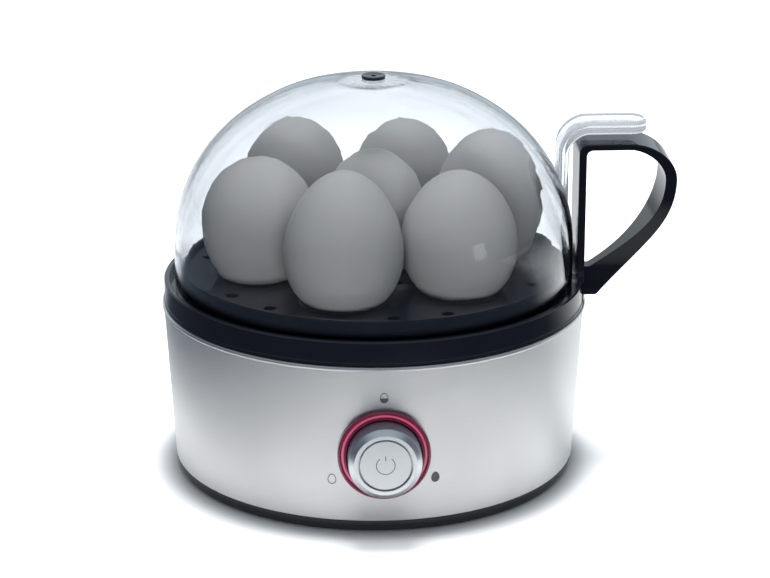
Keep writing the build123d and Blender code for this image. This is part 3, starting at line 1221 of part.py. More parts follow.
def post_front():
    """Front view of the post: straight, with flared corners where it meets the ring."""
    half = HANDLE_WIDTH / 2
    foot = half + HANDLE_FLARE
    shoulder = TRAY_RING_HIGH
    over = HANDLE_TOP_Z + OVERRUN
    under = HANDLE_TIP_Z - OVERRUN
    right = RadiusArc((half, shoulder + HANDLE_FLARE), (foot, shoulder), -HANDLE_FLARE)
    left = mirror(right, about=Plane.YZ)
    top = Polyline(
        (half, shoulder + HANDLE_FLARE),
        (half, over),
        (-half, over),
        (-half, shoulder + HANDLE_FLARE),
    )
    low = Polyline((-foot, shoulder), (-foot, under), (foot, under), (foot, shoulder))
    return make_face([right, top, left, low])


def outside_edges(handle):
    """Edges along both sides of the handle's outline, above the ring and clear of the post's back."""
    rim = Plane.XZ * handle_outline().wire()
    picked = []
    for edge in handle.edges():
        middle = edge @ 0.5
        level = middle.Z > TRAY_RING_HIGH - HANDLE_ROOT_DROP and middle.X > HANDLE_IN + FINE_EDGE
        if level and abs(middle.Y) > FINE_EDGE and rim.distance(Vertex(middle.X, 0, middle.Z)) < SEAT_GAP:
            picked.append(edge)
    return picked


def handle_loop():
    """The loop alone: arm and post cut to their front views, with rounded outer edges."""
    profile = Plane.XZ * (handle_outline() - handle_hole())
    loop = Pos(0, HANDLE_WIDTH, 0) * extrude(profile, 2 * HANDLE_WIDTH)
    arm = loop & extrude(SIDEWAYS * handle_front(), TRAY_RING_RADIUS + HANDLE_OUT + OVERRUN)
    post = loop & extrude(SIDEWAYS * post_front(), TRAY_RING_RADIUS + OVERRUN)
    foot_radius = math.hypot(HANDLE_IN + HANDLE_WALL, HANDLE_WIDTH / 2) + SEAT_GAP
    post &= disc(foot_radius, 0, HANDLE_TOP_Z + OVERRUN)
    handle = arm + post
    return fillet(outside_edges(handle), HANDLE_EDGE)


def tray_handle():
    """Moulded loop that grips the tray's ring, with a tongue under the lid groove."""
    handle = handle_loop()
    handle -= disc(TRAY_GROOVE_RADIUS + HANDLE_FIT, HANDLE_TIP_Z - OVERRUN, TRAY_FLOOR_HIGH + HANDLE_FIT)
    tongue_in = TRAY_COLLAR_RADIUS + HANDLE_FIT
    tongue = Box(
        TRAY_GROOVE_WIDTH + TRAY_RING_WALL - HANDLE_FIT,
        HANDLE_WIDTH - 2 * HANDLE_TONGUE_INSET,
        HANDLE_TONGUE,
        align=(Align.MIN, Align.CENTER, Align.MAX),
    )
    handle += Pos(tongue_in, 0, TRAY_FLOOR_LOW) * tongue
    core = Cylinder(HANDLE_SCREW_RADIUS + SCREW_GAP, 2 * HANDLE_TONGUE + OVERRUN)
    for y in (-HANDLE_SCREW_Y, HANDLE_SCREW_Y):
        handle -= Pos(HANDLE_SCREW_X, y, TRAY_FLOOR_LOW) * core
    return handle


def handle_screws():
    """Two countersunk screws down through the lid groove into the handle's tongue."""
    shank = TRAY_FLOOR_WALL + HANDLE_TONGUE - EDGE_BREAK
    screw = turned([
        (0, -shank),
        (HANDLE_SCREW_RADIUS, -shank),
        (HANDLE_SCREW_RADIUS, -HANDLE_SCREW_SINK),
        (HANDLE_SCREW_HEAD, -SLIDE_GAP),
        (HANDLE_SCREW_HEAD, 0),
        (0, 0),
    ])
    screw -= Box(CROSS_WIDTH, 2 * HANDLE_SCREW_HEAD - CROSS_WIDTH, CROSS_DEPTH)
    return [Pos(HANDLE_SCREW_X, y, TRAY_FLOOR_HIGH) * screw for y in (-HANDLE_SCREW_Y, HANDLE_SCREW_Y)]


# ---- lid
def dome_curve(radius, rise):
    """Quarter of the dome's rounded profile, from its side up to the vent."""
    points = [(radius, 0, DOME_SPRING_Z)]
    for k in range(1, DOME_STEPS):
        turn = math.pi / 2 * k / DOME_STEPS
        r = radius * math.cos(turn) ** (2 / DOME_POWER)
        z = rise * math.sin(turn) ** (2 / DOME_POWER)
        points.append((r, 0, DOME_SPRING_Z + z))
    points.append((0, 0, DOME_SPRING_Z + rise))
    return Spline(*points, tangents=[(0, 0, 1), (-1, 0, 0)])


def dome_body(radius, rise):
    """Solid under one of the dome's surfaces, down to its open edge."""
    sides = Polyline(
        (0, 0, DOME_SPRING_Z + rise),
        (0, 0, DOME_LOW),
        (radius, 0, DOME_LOW),
        (radius, 0, DOME_SPRING_Z),
    )
    return revolve(make_face([dome_curve(radius, rise), sides]), Axis.Z)


def lid_dome():
    """Clear dome with a straight skirt, an even wall and a boss stepped inside for the vent."""
    seat = DOME_TOP_Z + VENT_BOSS
    dome = dome_body(DOME_RADIUS, DOME_RISE)
    dome += disc(VENT_RADIUS - SLIDE_GAP, DOME_TOP_Z - OVERRUN, seat)
    dome -= dome_body(DOME_RADIUS - DOME_WALL, DOME_RISE - DOME_WALL)
    dome -= Pos(0, 0, DOME_TOP_Z) * Cylinder(VENT_NECK - VENT_LEDGE, THROUGH / 2)
    return dome - disc(VENT_NECK + SLIDE_GAP, seat - VENT_NECK_LENGTH - SLIDE_GAP, seat + OVERRUN)


def steam_vent():
    """Dark vent insert: a dished disc on the boss and a short bored neck that stands in it."""
    seat = DOME_TOP_Z + VENT_BOSS
    top = seat + VENT_DISC
    low = seat - VENT_NECK_LENGTH
    return turned([
        (VENT_BORE, low),
        (VENT_NECK - FINE_EDGE, low),
        (VENT_NECK, low + FINE_EDGE),
        (VENT_NECK, seat),
        (VENT_RADIUS, seat),
        (VENT_RADIUS, top - FINE_EDGE),
        (VENT_RADIUS - FINE_EDGE, top),
        (VENT_RADIUS - VENT_DISC, top),
        (VENT_NECK - VENT_LEDGE, top - VENT_DISH),
        (VENT_BORE, top - VENT_DISH),
    ])


def lid_handle():
    """Clear L-shaped grip that stands on the dome and reaches over the tray's handle."""
    low = DOME_SPRING_Z
    outer_bend = LID_HANDLE_BEND + LID_HANDLE_WALL
    post_out = LID_HANDLE_IN + LID_HANDLE_WALL
    centre = (post_out + LID_HANDLE_BEND, LID_HANDLE_LOW - LID_HANDLE_BEND)
    end = Polyline(
        (LID_HANDLE_IN + outer_bend, 0, LID_HANDLE_HIGH),
        (LID_HANDLE_REACH, 0, LID_HANDLE_HIGH),
        (LID_HANDLE_REACH, 0, LID_HANDLE_LOW),
        (centre[0], 0, LID_HANDLE_LOW),
    )
    outline = make_face([
        Line((LID_HANDLE_IN, 0, low), (LID_HANDLE_IN, 0, LID_HANDLE_HIGH - outer_bend)),
        arc_about((LID_HANDLE_IN + outer_bend, LID_HANDLE_HIGH - outer_bend), outer_bend, 180, 90),
        end,
        arc_about(centre, LID_HANDLE_BEND, 90, 180),
        Polyline((post_out, 0, centre[1]), (post_out, 0, low), (LID_HANDLE_IN, 0, low)),
    ])
    half = LID_HANDLE_WIDTH / 2
    handle = Pos(0, -half, 0) * extrude(outline, LID_HANDLE_WIDTH)
    plan = Rectangle(LID_HANDLE_REACH / 2, LID_HANDLE_WIDTH, align=(Align.MIN, Align.CENTER))
    rounded = RectangleRounded(LID_HANDLE_REACH, LID_HANDLE_WIDTH, LID_HANDLE_CORNER)
    plan += Pos(LID_HANDLE_REACH / 2, 0) * rounded
    handle &= extrude(plan, LID_HANDLE_HIGH + OVERRUN)
    sides = []
    for side in (-half, half):
        for edge in handle.edges().filter_by_position(Axis.Y, side, side):
            if (edge @ 0.5).Z > low + OVERRUN:
                sides.append(edge)
    return fillet(sides, LID_HANDLE_EDGE) - dome_body(DOME_RADIUS, DOME_RISE)


# ---- write one file per node
PARTS = {
    "base_pan": base_pan,
    "rubber_feet": rubber_feet,
    "pan_screws": pan_screws,
    "steel_housing": steel_housing,
    "inner_body": inner_body,
    "water_dish": water_dish,
    "dish_gasket": dish_gasket,
    "dish_clamps": dish_clamps,
    "clamp_nuts": clamp_nuts,
    "heating_element": heating_element,
    "heat_spreader": heat_spreader,
    "thermostat": thermostat,
    "thermostat_plate": thermostat_plate,
    "thermostat_screws": thermostat_screws,
    "thermal_fuse": thermal_fuse,
    "fuse_clip": fuse_clip,
    "heat_shield": heat_shield,
    "light_ring": light_ring,
    "knob_shell": knob_shell,
    "knob_hub": knob_hub,
    "pot_rotor": pot_rotor,
    "rotary_pot": rotary_pot,
    "push_button": push_button,
    "switch_plunger": switch_plunger,
    "push_switch": push_switch,
    "control_bracket": control_bracket,
    "bracket_screws": bracket_screws,
    "control_board": control_board,
    "board_screws": board_screws,
    "indicator_leds": indicator_leds,
    "power_board": power_board,
    "power_board_screws": power_board_screws,
    "relay": relay,
    "transformer": transformer,
    "smoothing_capacitor": smoothing_capacitor,
    "buzzer": buzzer,
    "terminal_block": terminal_block,
    "outlet_bush": outlet_bush,
    "egg_tray": egg_tray,
    "tray_handle": tray_handle,
    "handle_screws": handle_screws,
    "lid_dome": lid_dome,
    "lid_handle": lid_handle,
    "steam_vent": steam_vent,
}


def write_parts():
    """Builds every node and writes its STEP file."""
    os.makedirs("parts", exist_ok=True)
    for name, build in PARTS.items():
        built = build()
        shapes = built if isinstance(built, list) else [built]
        solids = [solid for shape in shapes for solid in shape.solids()]
        export_step(Compound(label=name, children=solids), f"parts/{name}.step")


write_parts()
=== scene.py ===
"""Seven-egg steam boiler: finishes, marks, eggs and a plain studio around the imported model."""
import math

import bmesh
import bpy
from bpy.props import FloatProperty, FloatVectorProperty, IntProperty, PointerProperty
from mathutils import Euler, Matrix, Vector


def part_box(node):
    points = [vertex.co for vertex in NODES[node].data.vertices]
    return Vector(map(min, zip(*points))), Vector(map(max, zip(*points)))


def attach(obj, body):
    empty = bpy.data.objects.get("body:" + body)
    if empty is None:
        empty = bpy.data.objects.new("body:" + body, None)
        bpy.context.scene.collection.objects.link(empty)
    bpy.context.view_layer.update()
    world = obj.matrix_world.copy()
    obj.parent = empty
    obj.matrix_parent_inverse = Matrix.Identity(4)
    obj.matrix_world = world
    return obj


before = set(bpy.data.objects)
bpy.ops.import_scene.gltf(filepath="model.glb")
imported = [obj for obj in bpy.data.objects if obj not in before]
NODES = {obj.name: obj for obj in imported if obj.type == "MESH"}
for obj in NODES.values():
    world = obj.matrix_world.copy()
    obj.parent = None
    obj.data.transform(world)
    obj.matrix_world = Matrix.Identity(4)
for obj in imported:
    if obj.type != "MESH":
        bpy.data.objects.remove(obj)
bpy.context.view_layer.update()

bl_info = {
    "name": "Seven-egg boiler",
    "version": (1, 0, 0),
    "blender": (4, 5, 0),
    "location": "3D View > Sidebar > Boiler",
    "description": "Finishes, printed marks, eggs and a studio for the seven-egg boiler",
    "category": "Object",
}

MM = 0.001
KNOB_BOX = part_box("knob_shell")
KNOB_Z = (KNOB_BOX[0].z + KNOB_BOX[1].z) / 2
# the middle of the knob's front, and the turn that lays the Z axis along the knob
KNOB_AXIS = ((0.0, KNOB_BOX[0].y, KNOB_Z), (math.radians(90), 0.0, 0.0))
METAL_GRAIN, MOULD_GRAIN = 0.02 * MM, 0.015 * MM
# drawn marks: the places around an egg's outline, the depth in metres at which the rays that look for
# the surface start, and the share of a film's height that is sunk into it
OUTLINE_STEPS = 56
RAY_START = -0.25
SUNK_SHARE = 0.3


# ---- settings
def colour(name, text, value):
    """A colour setting."""
    return FloatVectorProperty(
        name=name, description=text, subtype="COLOR", size=3, min=0.0, max=1.0, default=value
    )


def share(name, text, value):
    """A setting between nothing and all."""
    return FloatProperty(name=name, description=text, subtype="FACTOR", min=0.0, max=1.0, default=value)


def length(name, text, value):
    """A length in metres."""
    return FloatProperty(name=name, description=text, unit="LENGTH", subtype="DISTANCE", default=value)


def watts(name, text, value):
    """The power of a lamp."""
    return FloatProperty(name=name, description=text, unit="POWER", min=0.0, default=value)


def angle(name, text, degrees):
    """An angle, given in degrees."""
    return FloatProperty(
        name=name, description=text, unit="ROTATION", subtype="ANGLE", default=math.radians(degrees)
    )


class BoilerMetal(bpy.types.PropertyGroup):
    """Bare metals of the boiler."""

    steel: colour("Housing steel", "Satin stainless steel of the housing", (0.75, 0.742, 0.73))
    steel_roughness: share("Steel roughness", "How soft the housing's reflections are", 0.38)
    knob: colour("Knob metal", "Turned and lacquered metal of the knob", (0.70, 0.715, 0.73))
    # painted shade: a darker bluish tone for the knob's side
    knob_side_painted_shade: colour("Knob side", "Darker bluish tone painted on the knob's side as shade", (0.42, 0.50, 0.55))
    knob_roughness: share("Knob roughness", "How soft the knob's reflections are", 0.33)
    button: colour("Button metal", "Blasted face of the push button", (0.66, 0.672, 0.68))


class BoilerPlastic(bpy.types.PropertyGroup):
    """Moulded plastics and clear parts of the boiler."""

    gloss: colour("Gloss black", "Polished moulding of the tray and its handle", (0.0045, 0.0052, 0.0085))
    gloss_roughness: share("Gloss roughness", "How soft the black moulding's reflections are", 0.10)
    deck_roughness: share("Deck roughness", "How soft the reflections on the eroded deck are", 0.14)
    satin: colour("Satin black", "Base pan and outlet bush", (0.010, 0.011, 0.014))
    clear: colour("Clear tint", "Tint of the clear lid", (0.85, 0.87, 0.888))
    clear_roughness: share("Clear roughness", "How much the clear lid scatters", 0.015)
    glow: colour("Red ring", "Translucent red of the ring around the knob", (0.15, 0.007, 0.034))
    # painted highlight: the paler red of the ring's crest
    glow_painted_highlight: colour("Red ring's painted highlight", "Paler red painted along its rounded crest as a highlight", (0.66, 0.12, 0.22))


class BoilerEggs(bpy.types.PropertyGroup):
    """The seven eggs that stand in the tray."""

    # painted shade: the white shells get a grey tone for the dim light under the lid
    shell_painted_shade: colour("Shell", "Colour of the egg shells", (0.40, 0.380, 0.362))
    turns: IntProperty(name="Turns", description="Faces around each egg", min=16, max=128, default=64)
    rings: IntProperty(name="Rings", description="Faces along each egg", min=12, max=96, default=44)


class BoilerStage(bpy.types.PropertyGroup):
    """Camera, floor and lamps."""

    eye: FloatVectorProperty(
        name="Eye", description="Where the camera stands", subtype="TRANSLATION", unit="LENGTH",
        size=3, default=(-0.0497, -1.0739, 0.4421)
    )
    pitch: angle("Pitch", "How far the camera looks down", 18.83)
    yaw: angle("Yaw", "How far the camera turns to the right", 2.905)
    lens: FloatProperty(
        name="Lens", description="Focal length in millimetres", unit="CAMERA", min=10.0, default=124.46
    )
    floor: colour("Floor", "Colour of the floor", (0.86, 0.86, 0.86))
    floor_edge: length("Floor edge", "How far in front of the boiler's axis the pale floor ends", 0.305)
    back: colour("Back of the studio", "Colour of the bright sweep behind the boiler", (0.82, 0.92, 1.0))
    front: colour("Front of the studio", "Colour of the dim room in front of it", (0.05, 0.062, 0.082))
    top_power: watts("Top lamp", "Power of the overhead lamp", 14.6)
    front_power: watts("Front lamp", "Power of the fill lamp in front", 14.0)
    right_power: watts("Right lamp", "Power of the small lamp at the right", 0.14)


# ---- shader helpers
def feed(tree, socket, value):
    """Links another node's output to an input, or gives the input a plain value."""
    if isinstance(value, bpy.types.NodeSocket):
        tree.links.new(value, socket)
    else:
        socket.default_value = value


def put(tree, kind, *sources, **values):
    """Adds a shader node. Sources feed its inputs in order, values its properties and inputs by name."""
    node = tree.nodes.new(kind)
    for name, value in values.items():
        socket = next((s for s in node.inputs if s.name.replace(" ", "_").lower() == name), None)
        if socket is None:
            setattr(node, name, value)
        else:
            feed(tree, socket, value)
    for socket, source in zip(node.inputs, sources):
        feed(tree, socket, source)
    return node


def reckon(tree, operation, *sources, **values):
    """What a Math node makes of its sources."""
    return put(tree, "ShaderNodeMath", *sources, operation=operation, **values).outputs[0]


def vector(tree, operation, *sources, **values):
    """A Vector Math node's result: a number for a length or a dot product, and otherwise a vector."""
    node = put(tree, "ShaderNodeVectorMath", *sources, operation=operation, **values)
    return node.outputs["Value" if operation in ("LENGTH", "DOT_PRODUCT") else "Vector"]


def rising(tree, value, start, end, most=1.0):
    """A mask that goes smoothly from nothing to its most as a value goes from start to end."""
    settings = {"interpolation_type": "SMOOTHSTEP", "to_max": most}
    return put(tree, "ShaderNodeMapRange", value, start, end, **settings).outputs[0]


def between(tree, value, low, high):
    """A number that goes from low to high as a value goes from nothing to one."""
    return put(tree, "ShaderNodeMapRange", value, to_min=low, to_max=high).outputs[0]


def mixed(tree, kind, factor, first, second):
    """A mix of two colours (kind "RGBA") or of two numbers (kind "FLOAT")."""
    node = put(tree, "ShaderNodeMix", factor, data_type=kind)
    a, b, result = {"RGBA": (6, 7, 2), "FLOAT": (2, 3, 0)}[kind]
    feed(tree, node.inputs[a], first)
    feed(tree, node.inputs[b], second)
    return node.outputs[result]


def rgba(values):
    """A colour with full alpha."""
    return (values[0], values[1], values[2], 1.0)


def new_group(name, inputs, outputs):
    """An empty shader node group with named sockets, and the ends of its inputs and outputs."""
    group = bpy.data.node_groups.new(name, "ShaderNodeTree")
    for label, kind, value in inputs:
        socket = group.interface.new_socket(name=label, in_out="INPUT", socket_type=kind)
        if value is not None:
            socket.default_value = value
    for label, kind in outputs:
        group.interface.new_socket(name=label, in_out="OUTPUT", socket_type=kind)
    return group, group.nodes.new("NodeGroupInput").outputs, group.nodes.new("NodeGroupOutput").inputs


def turned_group():
    """Fine lines that run around the Z axis of the given coordinates."""
    group, given, out = new_group(
        "Turned lines",
        [
            ("Vector", "NodeSocketVector", None),
            ("Lines", "NodeSocketFloat", 2600.0),
            ("Streak", "NodeSocketFloat", 9.0),
            ("Low", "NodeSocketFloat", 0.0),
            ("High", "NodeSocketFloat", 1.0),
        ],
        [("Value", "NodeSocketFloat"), ("Height", "NodeSocketFloat")],
    )
    parts = put(group, "ShaderNodeSeparateXYZ", given["Vector"]).outputs
    flat = put(group, "ShaderNodeCombineXYZ", parts["X"], parts["Y"]).outputs[0]
    radius = vector(group, "LENGTH", flat)
    around = vector(group, "NORMALIZE", flat)
    streak = vector(group, "SCALE", around, scale=given["Streak"])
    closer = 1.7  # the lines lie this much closer together along the axis than across it
    across = reckon(group, "MULTIPLY_ADD", parts["Z"], closer, radius)
    lines = reckon(group, "MULTIPLY", across, given["Lines"])
    rise = put(group, "ShaderNodeCombineXYZ", z=lines).outputs[0]
    where = vector(group, "ADD", streak, rise)
    noise = put(group, "ShaderNodeTexNoise", where, scale=1.0, detail=3.0, roughness=0.65).outputs[0]
    spread = put(group, "ShaderNodeMapRange", noise, 0.25, 0.75, given["Low"], given["High"]).outputs[0]
    feed(group, out["Value"], spread)
    feed(group, out["Height"], noise)


def cloud_group():
    """Soft uneven patches, for handling marks and slow changes of finish."""
    group, given, out = new_group(
        "Uneven finish",
        [
            ("Vector", "NodeSocketVector", None),
            ("Scale", "NodeSocketFloat", 30.0),
            ("Detail", "NodeSocketFloat", 3.0),
            ("Low", "NodeSocketFloat", 0.0),
            ("High", "NodeSocketFloat", 1.0),
        ],
        [("Value", "NodeSocketFloat"), ("Height", "NodeSocketFloat")],
    )
    size = {"scale": given["Scale"], "detail": given["Detail"]}
    noise = put(group, "ShaderNodeTexNoise", given["Vector"], roughness=0.55, **size).outputs[0]
    spread = put(group, "ShaderNodeMapRange", noise, 0.3, 0.7, given["Low"], given["High"]).outputs[0]
    feed(group, out["Value"], spread)
    feed(group, out["Height"], noise)


def dots_group():
    """Small rounded pits or specks."""
    group, given, out = new_group(
        "Pits",
        [
            ("Vector", "NodeSocketVector", None),
            ("Scale", "NodeSocketFloat", 1200.0),
            ("Size", "NodeSocketFloat", 0.35),
        ],
        [("Mask", "NodeSocketFloat"), ("Height", "NodeSocketFloat")],
    )
    cells = put(group, "ShaderNodeTexVoronoi", given["Vector"], feature="F1", scale=given["Scale"])
    edge = reckon(group, "DIVIDE", cells.outputs["Distance"], given["Size"], use_clamp=True)
    mask = reckon(group, "SUBTRACT", 1.0, edge, use_clamp=True)
    feed(group, out["Mask"], mask)
    feed(group, out["Height"], edge)


def tones_group():
    """Two tones of one colour, chosen by a mask."""
    group, given, out = new_group(
        "Tones",
        [
            ("Mask", "NodeSocketFloat", 0.5),
            ("Dark", "NodeSocketColor", (0.4, 0.4, 0.4, 1.0)),
            ("Light", "NodeSocketColor", (0.6, 0.6, 0.6, 1.0)),
        ],
        [("Color", "NodeSocketColor")],
    )
    feed(group, out["Color"], mixed(group, "RGBA", given["Mask"], given["Dark"], given["Light"]))


MAKERS = {
    "Turned lines": turned_group,
    "Uneven finish": cloud_group,
    "Pits": dots_group,
    "Tones": tones_group,
}


class Finish:
    """A material with a Principled shader, object coordinates and a bump chain."""

    def __init__(self, name, **sockets):
        self.material = bpy.data.materials.new(name)
        self.material.use_nodes = True
        self.tree = self.material.node_tree
        self.tree.nodes.clear()
        self.out = put(self.tree, "ShaderNodeOutputMaterial")
        self.shader = put(self.tree, "ShaderNodeBsdfPrincipled", **sockets)
        self.show(self.shader)
        self.where = put(self.tree, "ShaderNodeTexCoord").outputs["Object"]
        self.colour = self.roughness = self.normal = None

    def show(self, shader):
        """Makes a shader the one that is seen."""
        feed(self.tree, self.out.inputs["Surface"], shader.outputs[0])

    def about(self, place, turn=(0.0, 0.0, 0.0), stretch=(1.0, 1.0, 1.0)):
        """Moves the coordinates to another place, and may turn and stretch them."""
        shift = put(self.tree, "ShaderNodeMapping", self.where, place, turn, stretch, vector_type="TEXTURE")
        self.where = shift.outputs[0]

    def use(self, name, **values):
        """Places one of the shared effects, on this material's coordinates and with its own values."""
        if name not in bpy.data.node_groups:
            MAKERS[name]()
        node = put(self.tree, "ShaderNodeGroup", node_tree=bpy.data.node_groups[name])
        for label, value in values.items():
            feed(self.tree, node.inputs[label.capitalize()], value)
        if "Vector" in node.inputs:
            feed(self.tree, node.inputs["Vector"], self.where)
        return node.outputs

    def paint(self, value):
        """Base colour that changes over the surface."""
        self.colour = value
        feed(self.tree, self.shader.inputs["Base Color"], value)

    def tones(self, mask, dark, light):
        """Base colour between two tones."""
        self.paint(self.use("Tones", mask=mask, dark=rgba(dark), light=rgba(light))["Color"])

    def zone(self, axis, start, end):
        """A mask that goes from nothing to all between two places along one axis of the coordinates."""
        parts = put(self.tree, "ShaderNodeSeparateXYZ", self.where).outputs
        return rising(self.tree, parts[axis], start, end)

    def ring_zone(self, start, end):
        """A mask that goes from nothing to all between two distances from the Z axis."""
        flat = vector(self.tree, "MULTIPLY", self.where, (1.0, 1.0, 0.0))
        return rising(self.tree, vector(self.tree, "LENGTH", flat), start, end)

    def rough(self, value):
        """Roughness from a value that changes over the surface."""
        self.roughness = value
        feed(self.tree, self.shader.inputs["Roughness"], value)

    def lean(self, node):
        """Takes the surface's direction from a Bevel or Bump node."""
        self.normal = node.outputs[0]
        feed(self.tree, self.shader.inputs["Normal"], self.normal)

    def round_edges(self, radius):
        """Softens the look of sharp edges."""
        self.lean(put(self.tree, "ShaderNodeBevel", samples=4, radius=radius))

    def bump(self, height, strength, depth):
        """Adds a layer of relief."""
        node = put(self.tree, "ShaderNodeBump", strength=strength, distance=depth, height=height)
        if self.normal is not None:
            feed(self.tree, node.inputs["Normal"], self.normal)
        self.lean(node)

    def let_light_through(self, tint):
        """Clear pieces let lamps and soft light reach what stands behind them."""
        path = put(self.tree, "ShaderNodeLightPath").outputs
        either = reckon(self.tree, "MAXIMUM", path["Is Shadow Ray"], path["Is Diffuse Ray"])
        through = put(self.tree, "ShaderNodeBsdfTransparent", color=rgba(tint))
        self.show(put(self.tree, "ShaderNodeMixShader", either, self.shader.outputs[0], through.outputs[0]))


def scaled(values, factor):
    """A lighter or darker tone of a colour."""
    return tuple(min(1.0, v * factor) for v in values)


def dress(finish, *names):
    """Gives CAD nodes a finish."""
    for name in names:
        for slot in NODES[name].material_slots:
            slot.material = finish.material


# ---- finishes
def lathe_metal(
    name, tone, low, high, axis=None, contrast=0.08, lines=2600.0, streak=9.0, relief=0.2, stretch=0.0
):
    """Metal with fine lines around an axis, uneven gloss and a slight relief."""
    finish = Finish(
        name, metallic=1.0, base_color=rgba(tone), anisotropic=stretch, anisotropic_rotation=0.25
    )
    if axis is not None:
        finish.about(*axis)
    marks = finish.use("Turned lines", lines=lines, streak=streak, low=low, high=high)
    patches = finish.use("Uneven finish", scale=24.0, low=-0.03, high=0.03)
    finish.rough(reckon(finish.tree, "ADD", marks["Value"], patches["Value"]))
    finish.tones(marks["Height"], scaled(tone, 1 - contrast), scaled(tone, 1 + contrast))
    finish.bump(marks["Height"], relief, METAL_GRAIN)
    if stretch:
        around = put(finish.tree, "ShaderNodeTangent", direction_type="RADIAL", axis="Z")
        feed(finish.tree, finish.shader.inputs["Tangent"], around.outputs[0])
    return finish


def plain_metal(name, tone, low, high, grain=900.0, relief=0.1):
    """Sheet or cast metal with an even fine grain."""
    finish = Finish(name, metallic=1.0, base_color=rgba(tone))
    patches = finish.use("Uneven finish", scale=60.0, low=low, high=high)
    fine = finish.use("Uneven finish", scale=grain, detail=2.0)
    finish.rough(patches["Value"])
    finish.tones(patches["Height"], scaled(tone, 0.9), scaled(tone, 1.08))
    finish.bump(fine["Height"], relief, METAL_GRAIN)
    return finish


def moulded(name, tone, low, high, relief=0.08, edges=0.2 * MM, **sockets):
    """Moulded plastic with a faint grain, slow changes of gloss and soft edges."""
    finish = Finish(name, base_color=rgba(tone), **sockets)
    patches = finish.use("Uneven finish", scale=35.0, low=low, high=high)
    fine = finish.use("Uneven finish", scale=1500.0, detail=2.0)
    if edges:
        finish.round_edges(edges)
    finish.rough(patches["Value"])
    finish.tones(patches["Height"], scaled(tone, 0.85), scaled(tone, 1.15))
    finish.bump(fine["Height"], relief, MOULD_GRAIN)
    return finish


def clear(name, tint, roughness, clarity=1.0):
    """Clear moulding with faint flow marks; less clarity makes it milky."""
    finish = Finish(
        name, base_color=rgba(tint), roughness=roughness, transmission_weight=clarity, ior=1.5, metallic=0.0
    )
    flow = finish.use("Uneven finish", scale=18.0, detail=1.0)
    finish.tones(flow["Height"], scaled(tint, 0.985), scaled(tint, 1.01))
    finish.bump(flow["Height"], 0.05, 0.5 * MM)
    finish.let_light_through(scaled(tint, 0.97))
    return finish


def red_with_painted_highlight(name, tint, edge, axis, crest, lip):
    """Translucent red moulding, deep red, with a painted highlight in paler red along its rounded crest."""
    finish = Finish(
        name, base_color=rgba(tint), transmission_weight=0.15, ior=1.5, coat_weight=0.7, coat_roughness=0.06,
        subsurface_weight=0.2, subsurface_scale=0.002
    )
    finish.about(*axis)
    patches = finish.use("Uneven finish", scale=120.0, low=0.12, high=0.22)
    finish.rough(patches["Value"])
    fade = 0.5 * MM
    inner = finish.ring_zone(crest - fade, crest)
    outer = finish.ring_zone(lip + fade, lip)
    # painted highlight: a paler band of red between the crest and the lip
    finish.tones(reckon(finish.tree, "MULTIPLY", inner, outer), tint, edge)
    return finish


def rubbery(name, tone):
    """Soft matt rubber with fine pits."""
    finish = Finish(name, base_color=rgba(tone), specular_ior_level=0.3)
    pits = finish.use("Pits", scale=2200.0, size=0.6)
    patches = finish.use("Uneven finish", scale=90.0, low=0.55, high=0.8)
    finish.rough(patches["Value"])
    finish.tones(patches["Height"], scaled(tone, 0.8), scaled(tone, 1.25))
    finish.bump(pits["Height"], 0.25, 0.03 * MM)
    return finish


# ---- mesh helpers
def shown(name, mesh, material, body):
    """Puts a new mesh in the scene with its finish, riding on a body."""
    piece = bpy.data.objects.new(name, mesh)
    bpy.context.scene.collection.objects.link(piece)
    mesh.materials.append(material)
    if body is not None:
        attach(piece, body)
    return piece


def surface_point(node, x, z):
    """The point of a CAD node straight behind a place on its front, and the way it faces."""
    hit, place, facing, _ = NODES[node].ray_cast(Vector((x, RAY_START, z)), Vector((0.0, 1.0, 0.0)))
    if not hit:
        raise RuntimeError(f"nothing of {node} lies behind {x:.4f}, {z:.4f}")
    return place, facing


def printed(name, node, rows, loop, height):
    """A thin closed film of printing or relief over a CAD surface, from rows of (x, z) places.

    Rows run across the film and hold equally many places; loop joins each row's end to its start."""
    mesh = bmesh.new()
    top, low = [], []
    for row in rows:
        top.append([])
        low.append([])
        for x, z in row:
            place, facing = surface_point(node, x, z)
            low[-1].append(mesh.verts.new(place - facing * (SUNK_SHARE * height)))
            top[-1].append(mesh.verts.new(place + facing * height))
    count = len(rows[0])
    steps = count if loop else count - 1
    for layer in (top, low):
        for a, b in zip(layer, layer[1:]):
            for k in range(steps):
                mesh.faces.new((a[k], a[(k + 1) % count], b[(k + 1) % count], b[k]))
    for side in (0, -1):
        a, b = top[side], low[side]
        for k in range(steps):
            mesh.faces.new((a[k], a[(k + 1) % count], b[(k + 1) % count], b[k]))
    if not loop:
        for end in (0, -1):
            for r in range(len(rows) - 1):
                mesh.faces.new((top[r][end], top[r + 1][end], low[r + 1][end], low[r][end]))
    bmesh.ops.recalc_face_normals(mesh, faces=mesh.faces)
    data = bpy.data.meshes.new(name)
    mesh.to_mesh(data)
    mesh.free()
    return data


def egg_outline(half_width, half_height, point):
    """Places around a small drawn egg, its pointed end up."""
    places = []
    for k in range(OUTLINE_STEPS):
        turn = 2 * math.pi * k / OUTLINE_STEPS
        lift = math.sin(turn)
        places.append((half_width * math.cos(turn) * (1 - point * lift), half_height * lift))
    return places


